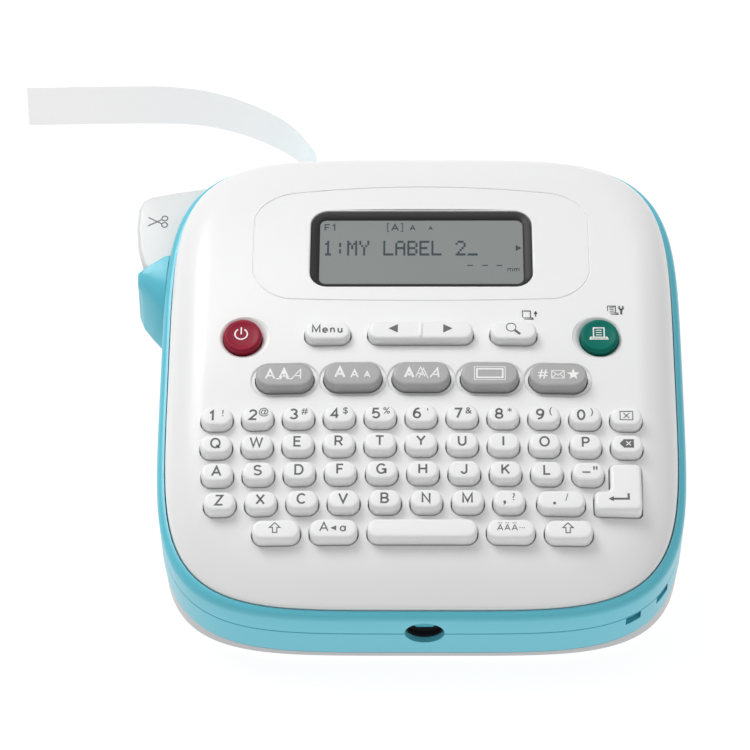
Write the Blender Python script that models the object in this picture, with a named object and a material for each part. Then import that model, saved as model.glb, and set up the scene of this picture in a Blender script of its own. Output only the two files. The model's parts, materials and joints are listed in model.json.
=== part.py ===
"""Desktop label maker for 12 mm tape.

The body is designed in a tilted "deck" frame: x to the right, y to the back, w out of the
keyboard face, with w = 0 on the line where the upper band meets the lower case. An empty named
deck carries that frame, and the wedge-shaped back cover brings it down to the table at z = 0.
Sizes are millimetres and become metres when a mesh is made.
"""
import math

import bmesh
import bpy
from mathutils import Vector

MM = 0.001
GAP = 0.3

# Overall form
HALF_WIDTH = 74.5
HALF_DEPTH = 77.5
SQUARENESS = 4.7
OUTLINE_POINTS = 48
CORNER_SHARE = 0.58
TILT = math.radians(16.0)
DECK_HEIGHT = 34.8

# Case shells
WALL = 2.2
BAND_HEIGHT = 9.3
BAND_ROUNDING = 2.2
LOWER_DEPTH = 11.0
PLATE = 1.6
SEAM = 0.15

# White cover
COVER_WALL = 2.0
COVER_RIM = 10.0
SKIRT_END = 3.0
DOME_TOP = 22.7
DOME_TOP_Y = 4.4
DOME_RADIUS_Y = 295.0 * (HALF_DEPTH / 77.5) ** 2
DOME_RADIUS_X = 1100.0
EDGE_ROLL = 12.0
COVER_HALF_WIDTH = HALF_WIDTH - WALL - GAP
COVER_HALF_DEPTH = HALF_DEPTH - WALL - GAP

# Keys
ROW_Y = {"digit": -21.2, "top": -29.7, "home": -38.1, "bottom": -46.6, "shift": -55.0}
FUNCTION_Y = -8.6
MENU_Y = 5.7
COLUMN_PITCH = 11.4
FIRST_COLUMN = -57.0
KEY_HALF_WIDTH = 4.5
KEY_HALF_DEPTH = 3.2
KEY_RADIUS = 2.9
KEY_RISE = 2.9
KEY_TRAVEL = 0.8
KEY_CLEARANCE = 0.4
KEY_EDGE = 0.7
WEB_THICKNESS = 1.0
WEB_HALF_DEPTH = 3.6
FLANGE = 0.7
ROCKER_ROOM = 0.6
PILL_HALF_WIDTH = 8.25
PILL_HALF_DEPTH = 4.15
PILL_PITCH = 19.15
BUTTON_RADIUS = 5.5
BUTTON_RISE = 1.3
BUTTON_DISH = 7.0
POWER_X = -50.5
PRINT_X = 50.3

# Display
WINDOW_Y = 36.5
WINDOW_HALF_WIDTH = 31.7
WINDOW_HALF_DEPTH = 14.4
WINDOW_RADIUS = 5.0
WINDOW_THICKNESS = 1.2
WINDOW_DEPTH = 0.9
LCD_HALF_WIDTH = 34.0
LCD_HALF_DEPTH = 17.0
LCD_THICKNESS = 4.0
LCD_DEPTH = COVER_WALL + 1.5

# Keypad electronics
BOARD_LOW = 7.2
BOARD_THICKNESS = 1.6
BOARD_HALF_WIDTH = 65.0 - COVER_WALL
BOARD_FRONT = -61.5 + COVER_WALL
BOARD_CORNER = 8.0
SHEET_THICKNESS = 1.0
RIB_HALF_DEPTH = 1.4

# Rear bay, in the lower case, open downwards
BAY_FRONT = 9.6
BAY_ROOF = 6.5
BOARD_BACK = BAY_FRONT - PLATE - GAP

# Tape cassette, head and drive
CASSETTE_LEFT = -22.0
CASSETTE_WIDTH = 80.0
CASSETTE_FRONT = 12.0
CASSETTE_DEPTH = 50.0
CASSETTE_LOW = -12.0
CASSETTE_HEIGHT = 17.0
SPOOL_RADIUS = 15.0
RIBBON_RADIUS = 9.0
SPOOL_LOW = -10.0
SPOOL_HEIGHT = 12.0
TAPE_X = -30.5
TAPE_WIDTH = 12.0
TAPE_THICKNESS = 0.4
TAPE_MIDDLE = -4.0
CUT_Y = 68.5
CUT_HALF_GAP = 0.5
PLATEN_RADIUS = 4.0
PLATEN_Y = 60.0
HEAD_THICKNESS = 3.6
CHASSIS_LOW = 3.0
CHASSIS_THICKNESS = 1.2
GEAR_LOW = 4.5
GEAR_THICKNESS = 1.6
GEAR_MODULE = 0.8
SHAFT_RADIUS = 1.0
RUNNING_CLEARANCE = 0.3
PLATEN_TEETH = 16
IDLER_TEETH = 24
PINION_TEETH = 10
IDLER_DIRECTION = math.radians(-133.0)
PINION_DIRECTION = math.radians(-100.0)
MOTOR_RADIUS = 10.0
MOTOR_LENGTH = 20.0

# Cutter
LEVER_TOP = 3.2
LEVER_THICKNESS = 4.4
LEVER_SWING_ROOM = 9.2
PIVOT_Y = 37.0
PIVOT_W = 1.0
PIN_RADIUS = 1.25
PIN_LEFT = -HALF_WIDTH - 6.9
PIN_RIGHT = -HALF_WIDTH + 10.3
BULGE_TOP = 5.2

# Power
CELL_RADIUS = 5.25
CELL_LENGTH = 44.5
CELL_PITCH = 10.9
CELL_COUNT = 6
CELL_FRONT = -57.5
CELL_MIDDLE = -8.1
CONTACT_THICKNESS = 0.6
JACK_X = 0.9
JACK_W = 0.6
JACK_HOLE_RADIUS = 5.5
JACK_HALF_WIDTH = 5.4
JACK_LENGTH = 14.0
JACK_SOCKET_RADIUS = 3.2

# Strap slots: middle of each slot and its half width along x
STRAP_SLOTS = ((58.6, 2.1), (66.8, 1.6))
STRAP_HEIGHT = 4.0

# Base
BASE_INSET = 0.7
BASE_DRAFT = 0.06
BASE_LOW = 1.0
BASE_FLOOR_TOP = 3.6
BASE_ROUNDING = 2.5
FACE_LOW = 0.5
FACE_HALF_WIDTH = 45.0
FACE_HALF_DEPTH = 30.0
FOOT_Y = 58.0
FOOT_HALF_WIDTH = 42.0
FOOT_HALF_DEPTH = 4.0
FOOT_HEIGHT = 1.8

# Screws that hold the lower case to the cover
SCREW_PLACES = {"case_screw_left": (-HALF_WIDTH + 7.1, -30.0),
                "case_screw_right": (HALF_WIDTH - 7.1, -30.0),
                "case_screw_front": (30.0, -HALF_DEPTH + 12.0)}
SCREW_HEAD_RADIUS = 2.5
SCREW_RADIUS = 1.1
SCREW_TIP = 7.0
BOSS_RADIUS = 3.0
BOSS_LOW = 0.6
BOSS_TOP = 12.2


# ---------------------------------------------------------------- shapes

def outline(inset=0.0, count=OUTLINE_POINTS, half_width=HALF_WIDTH, half_depth=HALF_DEPTH):
    """Points of the body's rounded-square plan, counterclockwise, moved inwards by inset."""
    a = half_width - inset
    b = half_depth - inset
    points = []
    for i in range(count):
        turn = 2 * math.pi * (i + 0.5) / count
        # The power draws more of the points into the corners.
        c = math.copysign(abs(math.cos(turn)) ** CORNER_SHARE, math.cos(turn))
        s = math.copysign(abs(math.sin(turn)) ** CORNER_SHARE, math.sin(turn))
        radius = (abs(c / a) ** SQUARENESS + abs(s / b) ** SQUARENESS) ** (-1 / SQUARENESS)
        points.append((radius * c, radius * s))
    return points


def behind(points, limit):
    """The stretch of a closed outline behind y = limit, cut straight across."""
    kept = []
    for (x, y), (next_x, next_y) in zip(points, points[1:] + points[:1]):
        if y > limit:
            kept.append((x, y))
        if (y > limit) != (next_y > limit):
            share = (limit - y) / (next_y - y)
            kept.append((x + share * (next_x - x), limit))
    return kept


def half_depth_at(x, inset=0.0):
    """Half the depth of the plan at a given x."""
    share = min(1.0, abs(x) / (HALF_WIDTH - inset))
    return (HALF_DEPTH - inset) * (1 - share ** SQUARENESS) ** (1 / SQUARENESS)


def dome(x, y):
    """Height of the keyboard face, away from the rolled edge."""
    across = x * x / (2 * DOME_RADIUS_X)
    along = (y - DOME_TOP_Y) ** 2 / (2 * DOME_RADIUS_Y)
    return DOME_TOP - along - across


def plan_share(x, y, half_width, half_depth):
    """How far out a point is: 0 at the middle of the plan, 1 on its outline."""
    total = abs(x / half_width) ** SQUARENESS + abs(y / half_depth) ** SQUARENESS
    return total ** (1 / SQUARENESS)


def under_skin(x, y):
    """Height of the inside of the cover."""
    share = plan_share(x, y, COVER_HALF_WIDTH - COVER_WALL, COVER_HALF_DEPTH - COVER_WALL)
    grown = COVER_HALF_WIDTH / (COVER_HALF_WIDTH - COVER_WALL)
    from_edge = (1 - share) / max(share, 0.01) * math.hypot(x, y) * grown
    left = min(1.0, max(0.0, 1 - from_edge / EDGE_ROLL))
    roll = math.sqrt(1 - left * left)
    return COVER_RIM + (dome(x * grown, y * grown) - COVER_RIM) * roll - COVER_WALL


def rounded(corners, radius, steps=2):
    """A polygon with each corner turned into an arc of steps + 1 points."""
    points = []
    count = len(corners)
    for i, corner in enumerate(corners):
        here = Vector(corner)
        before = (Vector(corners[i - 1]) - here).normalized()
        after = (Vector(corners[(i + 1) % count]) - here).normalized()
        half = before.angle(after) / 2
        reach = radius / math.tan(half)
        centre = here + (before + after).normalized() * (radius / math.sin(half))
        first = here + before * reach - centre
        last = here + after * reach - centre
        for k in range(steps + 1):
            mixed = first.lerp(last, k / steps).normalized() * radius
            points.append(tuple(centre + mixed))
    return points


def rectangle(half_x, half_y, radius, x=0.0, y=0.0, steps=2):
    corners = [(x - half_x, y - half_y), (x + half_x, y - half_y),
               (x + half_x, y + half_y), (x - half_x, y + half_y)]
    return rounded(corners, radius, steps)


def circle(radius, x=0.0, y=0.0, count=20):
    turns = [2 * math.pi * i / count for i in range(count)]
    return [(x + radius * math.cos(t), y + radius * math.sin(t)) for t in turns]


def raised(points, height):
    """Plan points at one height, or at the height that a function of x and y gives."""
    if callable(height):
        return [(x, y, height(x, y)) for x, y in points]
    return [(x, y, height) for x, y in points]


def loft(rings, closed=False):
    """Joins rings of equal length, with end caps unless the last ring joins the first."""
    count = len(rings[0])
    verts = [point for ring in rings for point in ring]
    faces = []
    spans = len(rings) if closed else len(rings) - 1
    for i in range(spans):
        low = i * count
        high = ((i + 1) % len(rings)) * count
        for j in range(count):
            k = (j + 1) % count
            faces.append((low + j, low + k, high + k, high + j))
    if not closed:
        faces.append(tuple(reversed(range(count))))
        faces.append(tuple(range(len(verts) - count, len(verts))))
    return verts, faces


def prism(points, low, high):
    return loft([raised(points, low), raised(points, high)])


def box(x, y, w):
    """A box from three (low, high) pairs."""
    corners = [(x[0], y[0]), (x[1], y[0]), (x[1], y[1]), (x[0], y[1])]
    return prism(corners, w[0], w[1])


def turned(profile, x=0.0, y=0.0, count=20):
    """A solid turned about an upright axis from (radius, height) pairs, low to high."""
    return loft([raised(circle(radius, x, y, count), height) for radius, height in profile])


def along_x(solid):
    """Turns an upright solid so that its axis lies along x."""
    verts, faces = solid
    return [(w, x, y) for x, y, w in verts], faces


def along_y(solid):
    """Turns an upright solid so that its axis lies along y."""
    verts, faces = solid
    return [(x, w, -y) for x, y, w in verts], faces


def moved(solid, x=0.0, y=0.0, w=0.0):
    verts, faces = solid
    return [(a + x, b + y, c + w) for a, b, c in verts], faces


def together(solids):
    """Several separate solids in one mesh, for use as a cutter or as one side of a union."""
    verts = []
    faces = []
    for more_verts, more_faces in solids:
        start = len(verts)
        verts.extend(more_verts)
        faces.extend(tuple(start + i for i in face) for face in more_faces)
    return verts, faces


def swept(path, radius, sides=6):
    """A round wire along a list of points."""
    rings = []
    side = Vector((1.0, 0.0, 0.0))
    for i, point in enumerate(path):
        here = Vector(point)
        ahead = Vector(path[min(i + 1, len(path) - 1)])
        behind = Vector(path[max(i - 1, 0)])
        along = (ahead - behind).normalized()
        side = (side - along * side.dot(along)).normalized()
        other = along.cross(side)
        ring = []
        for k in range(sides):
            turn = 2 * math.pi * k / sides
            ring.append(tuple(here + radius * (math.cos(turn) * side + math.sin(turn) * other)))
        rings.append(ring)
    return loft(rings)


# ---------------------------------------------------------------- scene

def clear_scene():
    for item in list(bpy.data.objects):
        bpy.data.objects.remove(item, do_unlink=True)


def frame_empty(name, location=(0, 0, 0), rotation=(0, 0, 0), parent=None):
    empty = bpy.data.objects.new(name, None)
    empty.location = Vector(location) * MM
    empty.rotation_euler = rotation
    empty.parent = parent
    bpy.context.scene.collection.objects.link(empty)
    return empty


def finish_material(name, colour, roughness, metallic=0.0):
    made = bpy.data.materials.new(name)
    made.use_nodes = True
    shader = made.node_tree.nodes["Principled BSDF"]
    shader.inputs["Base Color"].default_value = (*colour, 1.0)
    shader.inputs["Roughness"].default_value = roughness
    shader.inputs["Metallic"].default_value = metallic
    made.diffuse_color = (*colour, 1.0)
    return made


def add(name, solid, look, frame=None, origin=(0, 0, 0)):
    """Makes an object whose origin is at origin; the solid's points share origin's frame."""
    verts, faces = solid
    mesh = bpy.data.meshes.new(name)
    local = [(Vector(point) - Vector(origin)) * MM for point in verts]
    mesh.from_pydata(local, [], faces)
    build = bmesh.new()
    build.from_mesh(mesh)
    bmesh.ops.recalc_face_normals(build, faces=build.faces)
    build.to_mesh(mesh)
    build.free()
    mesh.shade_smooth()
    mesh.set_sharp_from_angle(angle=math.radians(35.0))
    if look:
        mesh.materials.append(look)
    made = bpy.data.objects.new(name, mesh)
    made.location = Vector(origin) * MM
    made.parent = frame
    bpy.context.scene.collection.objects.link(made)
    return made


def combine(target, name, solid, operation, frame):
    """Adds a Boolean whose second shape stays in the file as a wire helper."""
    helper = add(name, solid, None, frame)
    helper.hide_render = True
    helper.display_type = "WIRE"
    change = target.modifiers.new(name, "BOOLEAN")
    change.operation = operation
    change.solver = "EXACT"
    change.object = helper


def cut(target, name, solid, frame):
    combine(target, name, solid, "DIFFERENCE", frame)


def join(target, name, solid, frame):
    combine(target, name, solid, "UNION", frame)


def deck_to_world(x, y, w):
    """A deck point in table coordinates, in millimetres."""
    c = math.cos(TILT)
    s = math.sin(TILT)
    return x, y * c - w * s, DECK_HEIGHT + y * s + w * c


# ---------------------------------------------------------------- keys

def columns(count, first=FIRST_COLUMN, pitch=COLUMN_PITCH):
    return [first + pitch * i for i in range(count)]


# Each key: name, x, y, half width, half depth, corner radius
KEY_ROWS = {
    "digit_key_row": (ROW_Y["digit"], [(x, KEY_HALF_WIDTH) for x in columns(10)]),
    "top_letter_row": (ROW_Y["top"], [(x, KEY_HALF_WIDTH) for x in columns(10)]),
    "home_letter_row": (ROW_Y["home"],
                        [(x, KEY_HALF_WIDTH) for x in columns(10, FIRST_COLUMN + 0.5)]),
    "bottom_letter_row": (ROW_Y["bottom"],
                          [(x, KEY_HALF_WIDTH) for x in columns(8, FIRST_COLUMN + 1.4)]
                          + [(38.5, 6.7)]),
}

SINGLE_KEYS = {
    "menu_key": (-26.4, MENU_Y, 6.5, KEY_HALF_DEPTH, KEY_RADIUS, "white"),
    "cursor_rocker": (-0.2, MENU_Y, 14.9, KEY_HALF_DEPTH, KEY_RADIUS, "white"),
    "search_key": (26.0, MENU_Y, 6.6, KEY_HALF_DEPTH, KEY_RADIUS, "white"),
    "font_key": (-2 * PILL_PITCH, FUNCTION_Y, PILL_HALF_WIDTH, PILL_HALF_DEPTH, 4.1, "grey"),
    "size_key": (-PILL_PITCH, FUNCTION_Y, PILL_HALF_WIDTH, PILL_HALF_DEPTH, 4.1, "grey"),
    "style_key": (0.0, FUNCTION_Y, PILL_HALF_WIDTH, PILL_HALF_DEPTH, 4.1, "grey"),
    "frame_key": (PILL_PITCH, FUNCTION_Y, PILL_HALF_WIDTH, PILL_HALF_DEPTH, 4.1, "grey"),
    "symbol_key": (2 * PILL_PITCH, FUNCTION_Y, PILL_HALF_WIDTH, PILL_HALF_DEPTH, 4.1, "grey"),
    "clear_key": (57.0, ROW_Y["digit"], KEY_HALF_WIDTH, KEY_HALF_DEPTH, KEY_RADIUS, "white"),
    "backspace_key": (57.0, ROW_Y["top"], KEY_HALF_WIDTH, KEY_HALF_DEPTH, KEY_RADIUS, "white"),
    "shift_key_left": (-39.9, ROW_Y["shift"], 6.7, KEY_HALF_DEPTH, KEY_RADIUS, "white"),
    "caps_key": (-24.1, ROW_Y["shift"], 6.7, KEY_HALF_DEPTH, KEY_RADIUS, "white"),
    "space_bar": (0.3, ROW_Y["shift"], 15.2, KEY_HALF_DEPTH, KEY_RADIUS, "white"),
    "accent_key": (24.6, ROW_Y["shift"], 6.7, KEY_HALF_DEPTH, KEY_RADIUS, "white"),
    "shift_key_right": (40.5, ROW_Y["shift"], 6.7, KEY_HALF_DEPTH, KEY_RADIUS, "white"),
}

ENTER_LEFT = 47.6
ENTER_STEP = 52.0
ENTER_RIGHT = 60.9
ENTER_BOTTOM = ROW_Y["bottom"] - KEY_HALF_DEPTH
ENTER_MIDDLE = ROW_Y["bottom"] + KEY_HALF_DEPTH
ENTER_TOP = ROW_Y["home"] + KEY_HALF_DEPTH
ENTER_RADIUS = 1.6


def under_cover(half_x, half_y, x, y):
    """Highest level that a flat flange can have under the cover, over its own footprint."""
    corners = [(x + a * half_x, y + b * half_y) for a in (-1, 1) for b in (-1, 1)]
    return min(under_skin(*corner) for corner in corners) - GAP


def key_levels(x, y, rise=KEY_RISE):
    """Heights of the lower edge of a key's rounded rim and of its top, over the dome."""
    top = dome(x, y) + rise
    return top - KEY_EDGE, top


def key_body(shape, low, x, y, rise=KEY_RISE):
    """A key cap from its shape, a function that gives the plan grown by a distance."""
    edge, top = key_levels(x, y, rise)
    return loft([raised(shape(0.0), low), raised(shape(0.0), edge), raised(shape(-KEY_EDGE), top)])


def rounded_key(x, y, half_x, half_y, radius):
    """The plan of a rounded key as a function of how far it is grown."""
    steps = 2 if half_y > KEY_HALF_DEPTH else 1
    return lambda grow: rectangle(half_x + grow, half_y + grow,
                                  min(radius, half_y - 0.05) + grow, x, y, steps)


def enter_plan(grow):
    corners = [(ENTER_LEFT - grow, ENTER_BOTTOM - grow), (ENTER_RIGHT + grow, ENTER_BOTTOM - grow),
               (ENTER_RIGHT + grow, ENTER_TOP + grow), (ENTER_STEP - grow, ENTER_TOP + grow),
               (ENTER_STEP - grow, ENTER_MIDDLE + grow), (ENTER_LEFT - grow, ENTER_MIDDLE + grow)]
    return rounded(corners, ENTER_RADIUS, 2)


def flanged_key(shape, flange_top, x, y, rise=KEY_RISE):
    """A single key: a retaining flange below the cover and the cap above it."""
    edge, top = key_levels(x, y, rise)
    low = flange_top - WEB_THICKNESS
    return loft([raised(shape(FLANGE), low), raised(shape(FLANGE), flange_top),
                 raised(shape(0.0), flange_top), raised(shape(0.0), edge),
                 raised(shape(-KEY_EDGE), top)])


def row_flange_top(y, keys):
    reach = max(abs(x) + half for x, half in keys)
    return under_cover(reach, WEB_HALF_DEPTH, 0.0, y)


def single_flange_top(x, y, half_x, half_y):
    return under_cover(half_x + FLANGE, half_y + FLANGE, x, y)


def make_key_rows(deck, looks):
    for name, (y, keys) in KEY_ROWS.items():
        top = row_flange_top(y, keys)
        first = keys[0][0]
        last = keys[-1][0]
        web = box((first, last), (y - WEB_HALF_DEPTH, y + WEB_HALF_DEPTH),
                  (top - WEB_THICKNESS, top))
        row = add(name, web, looks["key_white"], deck, (0.5 * (first + last), y, top))
        caps = []
        for x, half_x in keys:
            shape = rounded_key(x, y, half_x, KEY_HALF_DEPTH, KEY_RADIUS)
            caps.append(key_body(shape, top - 0.5 * WEB_THICKNESS, x, y))
        join(row, name + "_caps", together(caps), deck)


def make_single_keys(deck, looks):
    for name, (x, y, half_x, half_y, radius, colour) in SINGLE_KEYS.items():
        top = single_flange_top(x, y, half_x, half_y)
        if name == "cursor_rocker":
            top -= ROCKER_ROOM
        shape = rounded_key(x, y, half_x, half_y, radius)
        add(name, flanged_key(shape, top, x, y), looks["key_" + colour], deck, (x, y, top))
    middle_x = 0.5 * (ENTER_STEP + ENTER_RIGHT)
    middle_y = 0.5 * (ENTER_BOTTOM + ENTER_TOP)
    top = under_cover(ENTER_RIGHT + FLANGE, -ENTER_BOTTOM + FLANGE, 0.0, 0.0)
    add("enter_key", flanged_key(enter_plan, top, middle_x, middle_y), looks["key_white"], deck,
        (middle_x, middle_y, top))
    for name, x, colour in (("power_button", POWER_X, "red"), ("print_button", PRINT_X, "green")):
        top = single_flange_top(x, MENU_Y, BUTTON_RADIUS, BUTTON_RADIUS)

        def shape(grow, x=x):
            return circle(BUTTON_RADIUS + grow, x, MENU_Y, 24)

        add(name, flanged_key(shape, top, x, MENU_Y, BUTTON_RISE), looks["key_" + colour], deck,
            (x, MENU_Y, top))


def key_holes():
    """Cutters through the cover: one straight hole round each key."""
    low = SKIRT_END
    high = DOME_TOP + 5.0
    holes = []
    for y, keys in KEY_ROWS.values():
        for x, half_x in keys:
            shape = rounded_key(x, y, half_x, KEY_HALF_DEPTH, KEY_RADIUS)
            holes.append(prism(shape(KEY_CLEARANCE), low, high))
    for x, y, half_x, half_y, radius, _ in SINGLE_KEYS.values():
        shape = rounded_key(x, y, half_x, half_y, radius)
        holes.append(prism(shape(KEY_CLEARANCE), low, high))
    holes.append(prism(enter_plan(KEY_CLEARANCE), low, high))
    for x in (POWER_X, PRINT_X):
        rim = dome(x, MENU_Y)
        hole = BUTTON_RADIUS + KEY_CLEARANCE
        spread = BUTTON_DISH - hole
        holes.append(turned([(hole, low), (hole, rim - spread), (BUTTON_DISH, rim),
                             (BUTTON_DISH + 2.0, rim + 2.0)], x, MENU_Y, 24))
    return holes


# ---------------------------------------------------------------- shells

def cover_ring(share, inset, drop):
    """One ring of the cover: its plan scaled by share, at the height of the rolled dome."""
    outer = outline(0.0, OUTLINE_POINTS, COVER_HALF_WIDTH, COVER_HALF_DEPTH)
    moved_in = outline(inset, OUTLINE_POINTS, COVER_HALF_WIDTH, COVER_HALF_DEPTH)
    ring = []
    for (x, y), (a, b) in zip(outer, moved_in):
        from_edge = (1 - share) * math.hypot(x, y)
        left = max(0.0, 1 - from_edge / EDGE_ROLL)
        roll = math.sqrt(1 - left * left)
        height = COVER_RIM + (dome(x * share, y * share) - COVER_RIM) * roll
        ring.append((a * share, b * share, height - drop))
    return ring


def screw_bosses():
    """Posts under the cover that the case screws turn into."""
    return [prism(circle(BOSS_RADIUS, x, y, 12), BOSS_LOW, BOSS_TOP)
            for x, y in SCREW_PLACES.values()]


def make_top_cover(deck, looks):
    shares = (0.15, 0.45, 0.7, 0.84, 0.91, 0.96, 0.99, 1.0)
    rings = [cover_ring(share, 0.0, 0.0) for share in shares]
    edge = outline(0.0, OUTLINE_POINTS, COVER_HALF_WIDTH, COVER_HALF_DEPTH)
    inner = outline(COVER_WALL, OUTLINE_POINTS, COVER_HALF_WIDTH, COVER_HALF_DEPTH)
    rings.append(raised(edge, SKIRT_END))
    rings.append(raised(inner, SKIRT_END))
    rings.extend(cover_ring(share, COVER_WALL, COVER_WALL) for share in reversed(shares))
    cover = add("top_cover", loft(rings), looks["cover_white"], deck)
    window = rectangle(WINDOW_HALF_WIDTH, WINDOW_HALF_DEPTH, WINDOW_RADIUS, 0.0, WINDOW_Y, 3)
    join(cover, "cover_bosses", together(screw_bosses()), deck)
    pilots = [prism(circle(SCREW_RADIUS + GAP, x, y, 10), BOSS_LOW - 1.0, SCREW_TIP + 1.0)
              for x, y in SCREW_PLACES.values()]
    cut(cover, "cover_pilots", together(pilots), deck)
    cut(cover, "cover_lever_room", lever_window(), deck)
    cut(cover, "cover_hub_room", hub_room(), deck)
    cut(cover, "cover_jack_room", jack_room(), deck)
    openings = key_holes() + [prism(window, SKIRT_END, DOME_TOP + 5.0)]
    cut(cover, "cover_openings", together(openings), deck)


def lever_window():
    """Space that the cutter lever swings in, through the walls at the left rear."""
    return box((-HALF_WIDTH - 15.0, -HALF_WIDTH + 13.5), (PIVOT_Y + 7.0, HALF_DEPTH - 5.0),
               (-LEVER_SWING_ROOM, LEVER_TOP + 0.9))


def hub_room():
    """Narrower space for the lever's hub, cut off at the corner that the bulge covers."""
    left = PIN_LEFT + 0.9
    right = PIN_RIGHT - 1.8
    front = PIVOT_Y - 4.0
    plan = [(left, PIVOT_Y + 2.0), (left + 4.0, front), (right, front), (right, PIVOT_Y + 9.0),
            (left, PIVOT_Y + 9.0)]
    return prism(plan, -LEVER_SWING_ROOM, LEVER_TOP + 0.5)


def pin_bore():
    bore = along_x(prism(circle(PIN_RADIUS + GAP, 0, 0, 12), PIN_LEFT - GAP, PIN_RIGHT + 1.2))
    return moved(bore, 0.0, PIVOT_Y, PIVOT_W)


def jack_room():
    """Room for the power jack behind the front wall."""
    half = JACK_HALF_WIDTH + 0.8
    return box((JACK_X - half, JACK_X + half),
               (-HALF_DEPTH + WALL - 0.1, -HALF_DEPTH + WALL + JACK_LENGTH + 1.8),
               (JACK_W - half, JACK_W + half))


def tape_slot():
    """Slot in the rear wall where the label leaves."""
    reach = 1.7
    half = 0.5 * TAPE_WIDTH + 0.8
    return box((TAPE_X - reach, TAPE_X + reach), (CUT_Y + 1.0, HALF_DEPTH + 2.0),
               (TAPE_MIDDLE - half, TAPE_MIDDLE + half))


def jack_hole():
    inner = HALF_DEPTH - WALL - 1.0
    hole = along_y(prism(circle(JACK_HOLE_RADIUS, 0.0, 0.0, 24), -HALF_DEPTH - 3.0, -inner))
    return moved(hole, JACK_X, 0.0, JACK_W)


def make_case_band(deck, looks):
    corner = BAND_ROUNDING
    profile = [(0.0, SEAM), (0.0, BAND_HEIGHT - 1.2 * corner)]
    for turn in (30, 60, 90):
        angle = math.radians(turn)
        profile.append((corner * (1 - math.cos(angle)) * 0.999,
                        BAND_HEIGHT - 1.2 * corner * (1 - math.sin(angle))))
    profile.append((WALL, BAND_HEIGHT - 1.0))
    profile.append((WALL, SEAM))
    rings = [raised(outline(inset), height) for inset, height in profile]
    band = add("case_band", loft(rings, closed=True), looks["case_turquoise"], deck)
    cut(band, "band_openings", together([lever_window(), tape_slot(), jack_hole()]), deck)
    cut(band, "band_hub_room", hub_room(), deck)


def bulge():
    """Fairing on the lower case that covers the front end of the cutter lever."""
    edge = -HALF_WIDTH
    # x, then y of the back, the crest, the slope, the crease and the foot, and the top height
    stations = ((edge + 4.0, 45.5, 34.5, 29.5, 25.5, 19.5, BULGE_TOP),
                (edge - 0.5, 44.5, 35.5, 30.7, 26.7, 21.0, BULGE_TOP),
                (edge - 4.0, 42.0, 37.4, 33.8, 30.6, 25.2, BULGE_TOP - 0.1),
                (edge - 6.8, 40.2, 38.8, 36.2, 33.8, 29.0, BULGE_TOP - 0.6),
                (edge - 8.3, 39.8, 39.3, 37.8, 36.4, 33.0, BULGE_TOP - 2.2))
    rings = []
    for x, back, crest, slope, crease, foot, top in stations:
        rings.append([(x, back, -LOWER_DEPTH), (x, back, top), (x, crest, top),
                      (x, slope, 0.62 * top), (x, crease, 0.0), (x, foot, -LOWER_DEPTH)])
    return loft(rings)


def strap_windows():
    """Two slots at the right front corner; a strap threads behind the bar between them."""
    slots = []
    for x, half in STRAP_SLOTS:
        outer = -half_depth_at(x - half) - 2.0
        inner = -half_depth_at(x + half, WALL) + 1.5
        slots.append(box((x - half, x + half), (outer, inner),
                         (-SEAM - STRAP_HEIGHT, 0.5)))
    return slots


def make_lower_case(deck, looks):
    inner = outline(WALL)
    outer = outline()
    tray = loft([raised(inner, -SEAM - PLATE), raised(inner, -LOWER_DEPTH),
                 raised(outer, -LOWER_DEPTH), raised(outer, -SEAM)])
    case = add("lower_case", tray, looks["case_turquoise"], deck)
    join(case, "lower_bulge", bulge(), deck)
    cut(case, "lower_top_clearance", prism(outline(-GAP), -SEAM, BAND_HEIGHT + 5.0), deck)
    # The bay's hood stands on the plate, inside the cover's skirt.
    hood_inset = WALL + GAP + COVER_WALL + GAP
    hood = behind(outline(hood_inset), BAY_FRONT - PLATE)
    join(case, "bay_hood", prism(hood, -SEAM - 0.5 * PLATE, BAY_ROOF + PLATE), deck)
    room = behind(outline(hood_inset + PLATE), BAY_FRONT)
    cut(case, "bay_room", prism(room, -LOWER_DEPTH - 2.0, BAY_ROOF), deck)
    ear = box((PIN_RIGHT - 0.6, PIN_RIGHT + 2.4), (PIVOT_Y - 3.5, PIVOT_Y + 3.5),
              (PIVOT_W - 3.0, BAY_ROOF + 0.5 * PLATE))
    join(case, "lever_ear", ear, deck)
    cut(case, "lever_pocket", hub_room(), deck)
    cut(case, "lever_sweep", lever_window(), deck)
    cut(case, "tape_exit", tape_slot(), deck)
    cut(case, "jack_opening", jack_hole(), deck)
    cut(case, "jack_space", jack_room(), deck)
    cut(case, "strap_slots", together(strap_windows()), deck)
    holes = [prism(circle(SCREW_RADIUS + 0.4, x, y, 10), -SEAM - PLATE - 2.0, SEAM + 2.0)
             for x, y in SCREW_PLACES.values()]
    cut(case, "lower_holes", together(holes + [pin_bore()]), deck)


def base_ring(inset, share, floor):
    """One ring of the back cover's outside: share runs 0 at the top edge, 1 at the floor."""
    level = -LOWER_DEPTH - GAP
    ring = []
    for x, y in outline(BASE_INSET + inset):
        top = Vector(deck_to_world(x, y, level))
        centre = Vector(deck_to_world(0.0, 0.0, level))
        height = top.z - floor
        corner = min(BASE_ROUNDING, 0.5 * height)
        if share == 0.0:
            pull = 0.0
            z = top.z
        else:
            angle = math.radians(90.0 * (share - 0.5) * 2)
            pull = BASE_DRAFT * height + corner * (1 - math.cos(angle))
            z = floor + corner * (1 - math.sin(angle))
        flat = Vector((top.x - centre.x, top.y - centre.y))
        kept = 1 - pull / flat.length
        ring.append((centre.x + flat.x * kept, centre.y + flat.y * kept, z))
    return ring


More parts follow.
